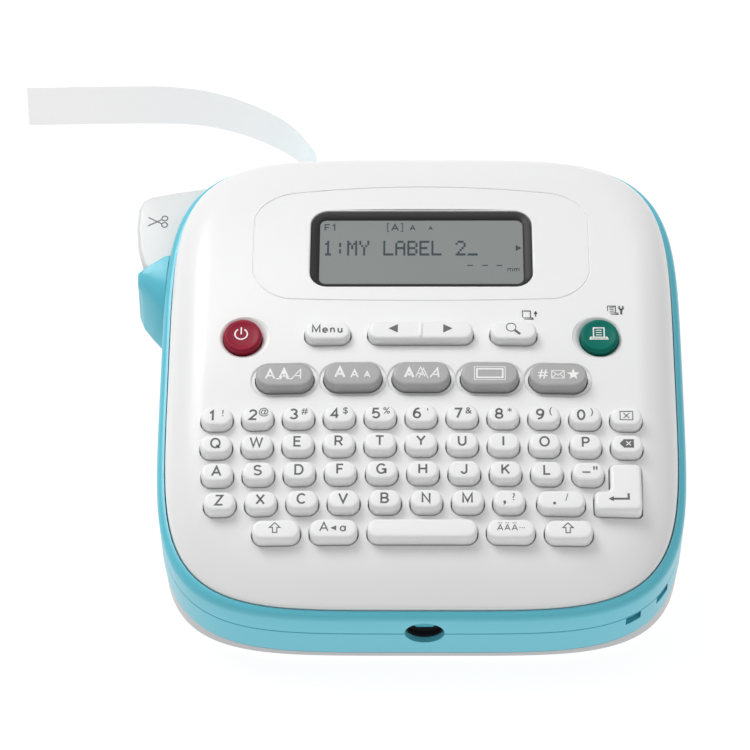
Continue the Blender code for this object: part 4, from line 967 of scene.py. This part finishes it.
def pill_legends(looks):
    y = FUNCTION_Y
    white = looks["white_legend"]

    def put(name, parts):
        legend_piece(name + "_legend", parts, white, name, "key_grey")

    x = SINGLES["font_key"][0]
    w = key_top(x, y)
    feet = [stroke([(x + along, y - 1.45), (x + along + 1.4, y - 1.45)], 0.35, w)
            for along in (-2.3, 0.7)]
    put("font_key", drawn("A", 3.4, x - 4.0, y + 0.1, w, 0.5)
        + drawn("A", 3.4, x - 0.1, y + 0.1, w, 0.85) + feet
        + drawn("A", 3.4, x + 3.9, y + 0.1, w, 0.34, 0.4))
    x = SINGLES["size_key"][0]
    w = key_top(x, y)
    put("size_key", drawn("A", 3.7, x - 3.6, y + 0.4, w, 0.6)
        + drawn("A", 2.8, x + 0.5, y - 0.05, w, 0.45) + drawn("A", 2.2, x + 4.0, y - 0.3, w, 0.36))
    x = SINGLES["style_key"][0]
    w = key_top(x, y)
    put("style_key", drawn("A", 3.5, x - 3.4, y + 0.1, w, 0.66)
        + drawn("A", 3.4, x - 0.2, y + 0.45, w, 0.26) + drawn("A", 3.4, x + 0.6, y, w, 0.26)
        + drawn("A", 3.4, x + 4.1, y + 0.1, w, 0.45, 0.3))
    x = SINGLES["frame_key"][0]
    w = key_top(x, y)
    put("frame_key", [framed(4.3, 2.1, x, y + 0.1, 0.2, w), framed(3.6, 1.4, x, y + 0.1, 0.45, w)])
    x = SINGLES["symbol_key"][0]
    w = key_top(x, y)
    put("symbol_key", [lettering("#", 4.3, x - 4.3, y + 0.1, w, bold=0.04)]
        + envelope(x - 0.1, y, w) + star(x + 4.2, y, w))


# ---------------------------------------------------------------- cover

def dome_ring(share, inset=0.0, drop=0.0):
    """One ring of the cover: its plan scaled by share, at the height of the rolled dome."""
    ring = []
    for (x, y), (a, b) in zip(cover_plan(), cover_plan(inset)):
        from_edge = (1 - share) * math.hypot(x, y)
        left = max(0.0, 1 - from_edge / EDGE_ROLL)
        roll = math.sqrt(1 - left * left)
        height = COVER_RIM + (dome(x * share, y * share) - COVER_RIM) * roll
        ring.append((a * share, b * share, height - drop))
    return ring


def hole(plan, flare=0.35):
    """A cutter for a key's opening, with a soft flared rim that follows the dome."""
    rings = [at(plan(KEY_CLEARANCE), SKIRT_END)]
    for grow, lift in ((0.0, -flare), (0.08, -0.6 * flare), (0.3 * flare, -0.3 * flare),
                       (flare, 0.05), (flare + 0.3, 3.0)):
        rings.append(at(plan(KEY_CLEARANCE + grow), lambda x, y: dome(x, y) + lift))
    return loft(rings)


def linked_recess():
    """The shallow recess that runs round and between the five grey keys."""
    parts = []
    for name in PILLS:
        x, y, half_x, half_y = SINGLES[name]
        plan = key_plan(x, y, half_x + 1.0, half_y + 0.9, half_y + 0.8)
        parts.append(loft([at(plan(0.0), lambda a, b: dome(a, b) - 0.5),
                           at(plan(0.35), lambda a, b: dome(a, b) - 0.12),
                           at(plan(0.6), lambda a, b: dome(a, b) + 0.05),
                           at(plan(1.0), lambda a, b: dome(a, b) + 3.0)]))
    return parts


def make_cover(looks):
    shares = [0.1 * i for i in range(1, 9)]
    shares.extend((0.84, 0.87, 0.9, 0.92, 0.94, 0.955, 0.97, 0.98, 0.988, 0.994, 0.998, 1.0))
    rings = [dome_ring(share) for share in shares]
    rings.append(at(cover_plan(), COVER_RIM - 1.5))
    rings.append(at(cover_plan(), SKIRT_END))
    rings.append(at(cover_plan(COVER_WALL), SKIRT_END))
    rings.extend(dome_ring(share, COVER_WALL, COVER_WALL)
                 for share in (1.0, 0.98, 0.94, 0.88, 0.8, 0.6, 0.4, 0.2))
    cover = mesh_object("keyboard_cover", loft(rings))
    cuts = [together(linked_recess()[0::2]), together(linked_recess()[1::2])]
    holes = []
    for name, (y, _, _) in ROWS.items():
        for x, half in row_keys(name):
            holes.append(hole(key_plan(x, y, half, KEY_HALF_DEPTH, KEY_RADIUS)))
    holes.extend(hole(single_plan(name)) for name in SINGLES)
    holes.append(hole(enter_plan))
    for x in (POWER_X, PRINT_X):
        rim = dome(x, MENU_Y)
        inner = BUTTON_RADIUS + KEY_CLEARANCE
        holes.append(turned([(inner, SKIRT_END), (inner, rim - 1.3), (inner + 0.25, rim - 0.9),
                             (BUTTON_DISH - 0.35, rim - 0.3), (BUTTON_DISH, rim - 0.05),
                             (BUTTON_DISH + 0.6, rim + 0.1), (BUTTON_DISH + 2.0, rim + 3.0)],
                            x, MENU_Y))
    cuts.append(together(holes))

    def window_plan(grow):
        return rectangle(WINDOW_HALF_WIDTH + grow, WINDOW_HALF_DEPTH - 0.5 + grow,
                         WINDOW_RADIUS + grow, 0.0, WINDOW_Y + 0.5, 10)

    cuts.append(hole(window_plan, 0.5))
    cuts.append(display_groove())
    carve(cover, cuts)
    shade(cover, 40.0)
    smooth_skin(cover)
    finish(cover, looks["cover"], "case", "cover_white", "top_cover")


def display_outline(grow):
    """The outline engraved round the display: a rounded rectangle with bowed long sides."""
    plan = []
    corners = rectangle(OUTLINE_HALF_WIDTH, OUTLINE_HALF_DEPTH, OUTLINE_RADIUS, 0.0, 0.0, 14)
    for x, y in divided(corners, 4.0):
        reach = math.hypot(x / OUTLINE_HALF_WIDTH, y / OUTLINE_HALF_DEPTH)
        x += grow * x / OUTLINE_HALF_WIDTH / reach
        y += grow * y / OUTLINE_HALF_DEPTH / reach
        bowed = 0.16 if y > 0 else 0.08
        plan.append((x, OUTLINE_Y + y * (1 - bowed * (x / OUTLINE_HALF_WIDTH) ** 2)))
    return plan


def display_groove():
    """A fine engraved line round the display."""
    return loft([at(display_outline(0.3), lambda x, y: dome(x, y) + 1.0),
                 at(display_outline(-0.3), lambda x, y: dome(x, y) + 1.0),
                 at(display_outline(-0.25), dome),
                 at(display_outline(0.0), lambda x, y: dome(x, y) - 0.28),
                 at(display_outline(0.12), lambda x, y: dome(x, y) - 0.28),
                 at(display_outline(0.3), dome)], True)


def cover_icons(looks):
    """The two small dark icons printed on the cover."""
    x, y = 29.8, 12.7
    w = dome(x, y)
    parts = label_icon(x, y, w, 0.9, 0.26)
    parts.append(stroke([(x + 2.6, y - 0.4), (x + 2.6, y + 0.7)], 0.3, w))
    parts.append(patch([(x + 2.6, y + 1.5), (x + 2.05, y + 0.5), (x + 3.15, y + 0.5)], w))
    x, y = 54.0, 15.0
    w = dome(x, y)
    parts += label_icon(x, y, w, 0.9, 0.24) + page_lines(x, y, w, 0.9, 0.18)
    parts.append(stroke([(x + 2.7, y - 1.3), (x + 2.7, y + 0.4)], 0.5, w))
    parts.append(stroke(bow(x + 2.7, y + 0.95, 0.6, 0.6, 130, 410, 12), 0.36, w))
    legend_piece("cover_icons", parts, looks["dark_legend"], "case", "cover_white")


# ---------------------------------------------------------------- display

def display_place():
    """The display's own frame: flat, tangent to the dome at the window's middle."""
    slope = -(WINDOW_Y - DOME_TOP_Y) / DOME_RADIUS_Y
    return (DECK @ Matrix.Translation((0.0, WINDOW_Y, dome(0.0, WINDOW_Y)))
            @ Matrix.Rotation(math.atan(slope), 4, "X"))


def dotted(text, x, y, pitch_x, pitch_y, w):
    """A line of dot-matrix characters from a tiny 5 by 7 font."""
    glyphs = {
        "L": "10000 10000 10000 10000 10000 10000 11111",
        "A": "01110 10001 10001 11111 10001 10001 10001",
        "B": "11110 10001 10001 11110 10001 10001 11110",
        "E": "11111 10000 10000 11110 10000 10000 11111",
        "M": "10001 11011 10101 10101 10001 10001 10001",
        "Y": "10001 10001 01010 00100 00100 00100 00100",
        "1": "00100 01100 00100 00100 00100 00100 01110",
        "2": "01110 10001 00001 00010 00100 01000 11111",
        ":": "00000 00100 00100 00000 00100 00100 00000",
        "_": "00000 00000 00000 00000 00000 00000 11111",
        " ": "00000 00000 00000 00000 00000 00000 00000",
    }
    parts = []
    for place, letter in enumerate(text):
        for row, line in enumerate(glyphs[letter].split()):
            for column, dot in enumerate(line):
                if dot == "1":
                    a = x + (6 * place + column) * pitch_x
                    b = y - row * pitch_y
                    dot_box = box((a - 0.49 * pitch_x, a + 0.49 * pitch_x),
                                  (b - 0.46 * pitch_y, b + 0.46 * pitch_y),
                                  (w - INK_HEIGHT, w + INK_HEIGHT))
                    parts.append(dot_box)
    return parts


def make_display(looks):
    place = display_place()
    outer = rectangle(WINDOW_HALF_WIDTH - 0.1, WINDOW_HALF_DEPTH - 0.6, WINDOW_RADIUS - 0.1,
                      0.0, 0.5, 10)
    middle = rectangle(LCD_X + 0.7, LCD_Y + 0.7, 2.4, steps=10)
    inner = rectangle(LCD_X, LCD_Y, 2.0, steps=10)
    bezel = loft([at(outer, -2.4), at(outer, -0.95), at(middle, -1.1), at(inner, -1.6),
                  at(inner, -2.4)], True)
    rim = mesh_object("display_bezel", bezel, place)
    shade(rim)
    finish(rim, looks["bezel"], "case", "window_dark", "display_window")
    panel = box((-34.0, 34.0), (-17.0, 17.0), (-7.5, -3.5))
    glass = prism(rectangle(LCD_X - 0.02, LCD_Y - 0.02, 2.0, steps=10), -3.6, -1.75)
    screen = mesh_object("lcd_panel", together([panel, glass]), place)
    finish(screen, looks["lcd"], "case", "lcd_grey", "lcd_module")
    w = -1.74
    parts = dotted("1:MY LABEL 2_", -28.0, 3.9, 0.578, 0.8, w)
    parts += drawn("F", 2.6, -27.2, 9.3, w, 0.32) + drawn("1", 2.6, -25.2, 9.3, w, 0.32)
    parts += drawn("A", 2.6, -7.6, 9.3, w, 0.36) + drawn("A", 2.0, -2.5, 9.2, w, 0.26)
    parts += drawn("A", 1.4, 2.7, 9.1, w, 0.2)
    for side in (-1, 1):
        edge = -7.6 + 2.2 * side
        parts.append(stroke([(edge - 0.5 * side, 10.8), (edge, 10.8), (edge, 7.8),
                             (edge - 0.5 * side, 7.8)], 0.22, w))
    parts.extend(stroke([(a - 0.8, -5.0), (a + 0.8, -5.0)], 0.3, w) for a in (14.0, 18.3, 22.4))
    parts.append(lettering("mm", 2.4, 26.4, -6.6, w))
    parts.append(patch([(27.2, 2.6), (27.2, 0.4), (28.8, 1.5)], w))
    ink = mesh_object("lcd_text", together(parts), place)
    finish(ink, looks["lcd_ink"], "case", "lcd_grey")


# ---------------------------------------------------------------- case

def lever_window():
    """Room that the lever swings in."""
    return box((-HALF_WIDTH - 15.0, -HALF_WIDTH + 13.5), (PIVOT_Y + 7.0, HALF_DEPTH - 5.0),
               (SWING_LOW, LEVER_TOP + 0.9))


def hub_room():
    """Narrower room for the lever's hub, cut off at the corner that the fairing covers."""
    left = -HALF_WIDTH - 6.0
    right = -HALF_WIDTH + 8.5
    front = PIVOT_Y - 3.3
    plan = [(left, PIVOT_Y + 2.0), (left + 3.7, front), (right, front), (right, PIVOT_Y + 9.0),
            (left, PIVOT_Y + 9.0)]
    return prism(plan, SWING_LOW, LEVER_TOP + 0.3)


def tape_slot():
    half = 0.5 * TAPE_WIDTH + 0.8
    return box((TAPE_X - 1.7, TAPE_X + 1.7), (TAPE_START + 0.5, HALF_DEPTH + 2.0),
               (TAPE_MIDDLE - half, TAPE_MIDDLE + half))


def at_jack(solid):
    """A solid drawn upwards round the origin, laid along +y on the power jack's axis."""
    return shifted(along_y(solid), JACK_X, 0.0, JACK_W)


def jack_hole():
    return at_jack(prism(circle(JACK_HOLE_RADIUS), -HALF_DEPTH - 3.0, -HALF_DEPTH + WALL + 1.0))


def band_top(y):
    """Height of the band's top edge, which sinks a little towards the rear."""
    share = min(1.0, max(0.0, (y - 5.0) / 65.0))
    return BAND_HEIGHT - BAND_SINK * share * share * (3 - 2 * share)


def make_band(looks):
    corner = 2.2
    rings = [at(case_plan(0.12), SEAM), at(case_plan(), SEAM + 0.14)]
    for turn in range(0, 91, 10):
        angle = math.radians(turn)
        drop = 1.2 * corner * (1 - math.sin(angle))
        inward = corner * (1 - math.cos(angle))
        rings.append(at(case_plan(inward), lambda x, y: band_top(y) - drop))
    rings.append(at(case_plan(WALL + 0.02), lambda x, y: band_top(y) - 1.0))
    rings.append(at(case_plan(WALL), SEAM))
    band = mesh_object("turquoise_band", loft(rings, True))
    carve(band, [together([lever_window(), tape_slot(), jack_hole()]), hub_room()])
    shade(band)
    finish(band, looks["case"], "case", "case_turquoise", "case_band")


def bulge():
    """Fairing that covers the front end of the cutter lever."""
    edge = -HALF_WIDTH
    # x, then y of the back, the crest, the crease and the foot, and the top height
    stations = ((edge + 4.0, 45.5, 34.5, 25.5, 19.5, BULGE_TOP),
                (edge - 0.5, 44.5, 35.5, 26.7, 21.0, BULGE_TOP),
                (edge - 4.0, 42.0, 37.4, 30.6, 25.2, BULGE_TOP - 0.1),
                (edge - 6.8, 40.2, 38.8, 33.8, 29.0, BULGE_TOP - 0.6),
                (edge - 8.3, 39.8, 39.3, 36.4, 33.0, BULGE_TOP - 2.2))
    rings = []
    for x, back, crest, crease, foot, top in stations:
        ring = [(x, back, -LOWER_DEPTH), (x, back, top)]
        start = Vector((min(back - 0.4, crest + 2.5), top))
        bend = Vector((crest - 3.4, top))
        end = Vector((crease, 0.0))
        for i in range(11):
            t = i / 10
            spot = start * (1 - t) ** 2 + bend * 2 * t * (1 - t) + end * t * t
            ring.append((x, spot.x, spot.y))
        ring.append((x, foot, -LOWER_DEPTH))
        rings.append(ring)
    return loft(rings)


def strap_slots():
    slots = []
    for x, half in ((58.6, 2.1), (66.8, 1.6)):
        outer = -half_depth_at(x - half) - 2.0
        inner = -half_depth_at(x + half, WALL) + 1.5
        slots.append(box((x - half, x + half), (outer, inner), (-SEAM - 4.0, -SEAM - 0.3)))
    return slots


def make_lower(looks):
    rings = [at(case_plan(WALL), -SEAM - 1.6), at(case_plan(WALL), -LOWER_DEPTH),
             at(case_plan(0.15), -LOWER_DEPTH), at(case_plan(), -LOWER_DEPTH + 0.2),
             at(case_plan(), -SEAM - 0.14), at(case_plan(0.12), -SEAM)]
    shell = mesh_object("turquoise_lower_case", loft(rings))
    fairing = mesh_object("fairing", bulge())
    soften(fairing, 0.8, 3, 50.0)
    points = [tuple(TO_DECK @ vertex.co) for vertex in fairing.data.vertices]
    faces = [tuple(face.vertices) for face in fairing.data.polygons]
    bpy.data.objects.remove(fairing)
    carve(shell, [(points, faces)], "UNION")
    clearance = prism(case_plan(-GAP), -SEAM, BAND_HEIGHT + 5.0)
    cuts = [clearance, hub_room(), lever_window(), tape_slot(), jack_hole(),
            together(strap_slots())]
    carve(shell, cuts)
    shade(shell, 32.0)
    finish(shell, looks["case"], "case", "case_turquoise", "lower_case")


def base_ring(inset, share, floor):
    """One ring of the base's outside, in world millimetres: share 0 at the top, 1 at the floor."""
    level = -LOWER_DEPTH - GAP
    ring = []
    centre = DECK @ Vector((0.0, 0.0, level)) * 1000
    for x, y in case_plan(BASE_INSET + inset):
        top = DECK @ Vector((x, y, level)) * 1000
        height = top.z - floor
        corner = min(2.5, 0.25 * height)
        pull = 0.0
        z = top.z
        if share > 0:
            angle = math.radians(90.0 * (share - 0.5) * 2)
            pull = BASE_DRAFT * height + corner * (1 - math.cos(angle))
            z = floor + corner * (1 - math.sin(angle))
        flat = Vector((top.x - centre.x, top.y - centre.y))
        kept = 1 - pull / flat.length
        ring.append((centre.x + flat.x * kept, centre.y + flat.y * kept, z))
    return ring


def make_base(looks):
    shares = (1.0, 0.92, 0.84, 0.75, 0.66, 0.58, 0.5, 0.0)
    base = mesh_object("wedge_base", loft([base_ring(0.0, share, BASE_LOW) for share in shares]),
                       WORLD)
    low = [(x, y, BASE_FLOOR_TOP) for x, y, _ in base_ring(WALL, 0.5, BASE_FLOOR_TOP)]
    high = [(x, y, z + 3.0) for x, y, z in base_ring(WALL, 0.0, BASE_FLOOR_TOP)]
    carve(base, [loft([low, high])], place=WORLD)
    carve(base, [prism(rectangle(45.0, 30.0, 4.0), 0.5, 2.0)], "UNION", WORLD)
    pocket_plans = [rectangle(FOOT_HALF_WIDTH + GAP, FOOT_HALF_DEPTH + GAP, 4.0, 0.0, y)
                    for y in (-FOOT_Y, FOOT_Y)]
    pockets = [prism(plan, -2.0, FOOT_HEIGHT + GAP) for plan in pocket_plans]
    carve(base, [together(pockets)], place=WORLD)
    shade(base)
    finish(base, looks["base"], "back_cover", "base_white", "back_cover")
    for name, y in (("foot_front", -FOOT_Y), ("foot_rear", FOOT_Y)):
        plan = rectangle(FOOT_HALF_WIDTH, FOOT_HALF_DEPTH, 3.7, 0.0, y)
        inner = rectangle(FOOT_HALF_WIDTH - 0.4, FOOT_HALF_DEPTH - 0.4, 3.4, 0.0, y)
        pad = loft([at(inner, 0.0), at(plan, 0.4), at(plan, FOOT_HEIGHT)])
        foot = mesh_object(name + "_pad", pad, WORLD)
        shade(foot)
        finish(foot, looks["rubber"], "back_cover", "rubber_black", name)


# ---------------------------------------------------------------- lever, tape and jack

def lever_plan():
    edge = -HALF_WIDTH
    return [(edge + 12.0, PIVOT_Y + 33.8), (edge + 1.1, PIVOT_Y + 31.9),
            (edge - 5.6, PIVOT_Y + 30.4), (edge - 8.0, PIVOT_Y + 28.8),
            (edge - 9.2, PIVOT_Y + 25.5), (edge - 9.4, PIVOT_Y + 19.0),
            (edge - 8.7, PIVOT_Y + 11.6), (edge - 7.0, PIVOT_Y + 5.5),
            (edge - 5.4, PIVOT_Y + 4.2), (edge - 5.0, PIVOT_Y + 2.6),
            (edge - 1.6, PIVOT_Y - 2.6),
            (edge + 7.6, PIVOT_Y - 2.6), (edge + 7.6, PIVOT_Y + 8.0),
            (edge + 12.0, PIVOT_Y + 9.0)]


def make_lever(looks):
    low = LEVER_TOP - LEVER_THICKNESS
    lever = mesh_object("lever_blade", prism(lever_plan(), low, LEVER_TOP))
    soften(lever, 1.5, 6, 60.0)
    bore = along_x(prism(circle(PIN_BORE_RADIUS), -HALF_WIDTH - 15.5, -HALF_WIDTH + 14.5))
    carve(lever, [shifted(bore, 0.0, PIVOT_Y, PIVOT_W)])
    shade(lever)
    finish(lever, looks["lever"], "cutter_lever", "lever_white", "cutter_lever")
    x, y = -HALF_WIDTH - 3.2, PIVOT_Y + 21.0
    legend_piece("lever_scissors", scissors_icon(x, y, LEVER_TOP), looks["legend"],
                 "cutter_lever", "lever_white")


def spline(points, steps):
    """Points of a smooth curve through the given ones."""
    smooth = []
    for i in range(len(points) - 1):
        a = Vector(points[max(i - 1, 0)])
        b = Vector(points[i])
        c = Vector(points[i + 1])
        d = Vector(points[min(i + 2, len(points) - 1)])
        for k in range(steps):
            t = k / steps
            smooth.append(0.5 * (2 * b + (c - a) * t + (2 * a - 5 * b + 4 * c - d) * t * t
                                 + (3 * b - a - 3 * c + d) * t ** 3))
    smooth.append(Vector(points[-1]))
    return smooth


LABEL_ROUTE = ((-0.6, 5.2), (-3.0, 4.2), (-3.3, 3.9), (-5.2, 4.3), (-9.2, 5.1), (-10.6, 3.8),
               (-9.0, 1.6), (-9.1, 0.5), (-18.0, -0.1), (-21.2, -0.5))
LABEL_LEAN = math.radians(34.0)


def make_label(looks):
    """The printed label: straight out of the slot, then a wide turn to the left, leaning back."""
    points = [(TAPE_X, TAPE_START), (TAPE_X, HALF_DEPTH - 3.0), (TAPE_X - 0.2, HALF_DEPTH)]
    x, y = TAPE_X, HALF_DEPTH
    for dx, dy in LABEL_ROUTE:
        x += dx
        y += dy
        points.append((x, y))
    count = len(points)
    steps = 6
    curve = spline(points, steps)
    rings = []
    for i, here in enumerate(curve):
        ahead = curve[min(i + 1, len(curve) - 1)]
        back = curve[max(i - 1, 0)]
        along = (ahead - back).normalized()
        normal = Vector((-along.y, along.x))
        share = min(1.0, max(0.0, (i / steps - 3) / (count - 6)))
        turn = LABEL_LEAN * share
        up = Vector((-normal.x * math.sin(turn), -normal.y * math.sin(turn), math.cos(turn)))
        out = Vector((normal.x * math.cos(turn), normal.y * math.cos(turn), math.sin(turn)))
        centre = Vector((here.x, here.y, TAPE_MIDDLE))
        ring = []
        for a, b in ((-1, -1), (1, -1), (1, 1), (-1, 1)):
            ring.append(tuple(centre + out * (0.5 * TAPE_THICKNESS * a)
                              + up * (0.5 * TAPE_WIDTH * b)))
        rings.append(ring)
    label = mesh_object("label_strip", loft(rings))
    shade(label)
    finish(label, looks["tape"], "case", "tape", "label_tape")


def make_jack(looks):
    """The power socket: a black barrel with a pin, behind the front wall."""
    face = -HALF_DEPTH + WALL + 0.4
    span = (-JACK_HALF_WIDTH, JACK_HALF_WIDTH)
    jack = mesh_object("jack_body", at_jack(box(span, span, (face, face + JACK_LENGTH))))
    sleeve = prism(circle(JACK_HOLE_RADIUS - 0.2), -HALF_DEPTH + 1.6, face + 1.0)
    carve(jack, [at_jack(sleeve)], "UNION")
    mouth = prism(circle(JACK_HOLE_RADIUS - 0.6), -HALF_DEPTH - 1.0, face + 0.5)
    socket = prism(circle(JACK_SOCKET_RADIUS), face - 1.0, face + 10.0)
    carve(jack, [at_jack(mouth)])
    carve(jack, [at_jack(socket)])
    shade(jack)
    finish(jack, looks["jack"], "case", "jack_black", "dc_jack")
    pin = turned([(0.85, face + 9.0), (0.85, face + 1.4), (0.6, face + 1.0)], count=20)
    contact = mesh_object("jack_pin", at_jack(pin))
    shade(contact)
    finish(contact, looks["steel"], "case", "steel")


# ---------------------------------------------------------------- carried-over pieces

INNER_LOOKS = {
    "board": ("main_board",),
    "rubber_sheet": ("keypad_sheet",),
    "cassette": ("tape_cassette",),
    "spool": ("tape_spool", "ribbon_spool"),
    "tape": ("supply_tape",),
    "ceramic": ("print_head",),
    "steel": ("feed_motor", "mechanism_chassis", "battery_contact_front", "battery_contact_rear",
              "case_screw_left", "case_screw_right", "case_screw_front", "cutter_lever_pin",
              "cutter_return_spring", "cutter_blade"),
    "gear": ("motor_pinion", "idler_gear", "platen_gear"),
    "rubber": ("platen_roller",),
    "battery": tuple(f"battery_{i}" for i in range(1, 7)),
}


def finish_inner_nodes(looks):
    for look, names in INNER_LOOKS.items():
        for name in names:
            node = frame["nodes"][name]
            node.data.materials.clear()
            node.data.materials.append(looks[look])


# ---------------------------------------------------------------- stage

def make_stage(looks):
    floor = mesh_object("floor", prism(rectangle(4000.0, 4000.0, 100.0), -3.0, -0.05), WORLD)
    floor.data.materials.append(looks["floor"])


def area_light(name, place, target, size, power):
    data = bpy.data.lights.new(name, "AREA")
    data.shape = "RECTANGLE"
    data.size = size[0]
    data.size_y = size[1]
    data.energy = power
    lamp = bpy.data.objects.new(name, data)
    lamp.location = place
    lamp.rotation_euler = (Vector(target) - Vector(place)).to_track_quat("-Z", "Y").to_euler()
    bpy.context.scene.collection.objects.link(lamp)


def make_lights():
    area_light("key_light", (-0.7, 0.55, 1.3), (0.0, 0.0, 0.0), (0.7, 0.7), 11.5)
    area_light("top_light", (0.1, 0.4, 1.6), (0.0, 0.0, 0.0), (1.4, 1.0), 7.0)
    area_light("front_fill", (0.2, -1.4, 0.7), (0.0, 0.0, 0.03), (1.2, 0.8), 0.6)
    world = bpy.data.worlds.new("studio")
    world.use_nodes = True
    background = world.node_tree.nodes["Background"]
    background.inputs["Color"].default_value = (1.0, 1.0, 1.0, 1.0)
    background.inputs["Strength"].default_value = 0.36
    bpy.context.scene.world = world


def make_camera():
    data = bpy.data.cameras.new("camera")
    data.lens = CAMERA_LENS
    data.sensor_width = 36.0
    data.clip_end = 50.0
    camera = bpy.data.objects.new("camera", data)
    at_deck = Vector((0.0, 0.0, DECK_HEIGHT)) - Vector(CAMERA_AT)
    aim = at_deck.to_track_quat("-Z", "Y").to_matrix().to_4x4()
    nudge = Matrix.Rotation(CAMERA_LEFT, 4, "Y") @ Matrix.Rotation(CAMERA_UP, 4, "X")
    camera.matrix_world = Matrix.Translation(CAMERA_AT) @ aim @ nudge
    bpy.context.scene.collection.objects.link(camera)
    bpy.context.scene.camera = camera
    bpy.context.scene.view_settings.view_transform = "Standard"


def main():
    looks = make_materials()
    for make in (make_cover, cover_icons, make_display, make_rows, row_legends, make_singles,
                 single_legends, pill_legends, make_band, make_lower, make_base, make_lever,
                 make_label, make_jack, finish_inner_nodes, make_stage):
        make(looks)
    make_lights()
    make_camera()


main()
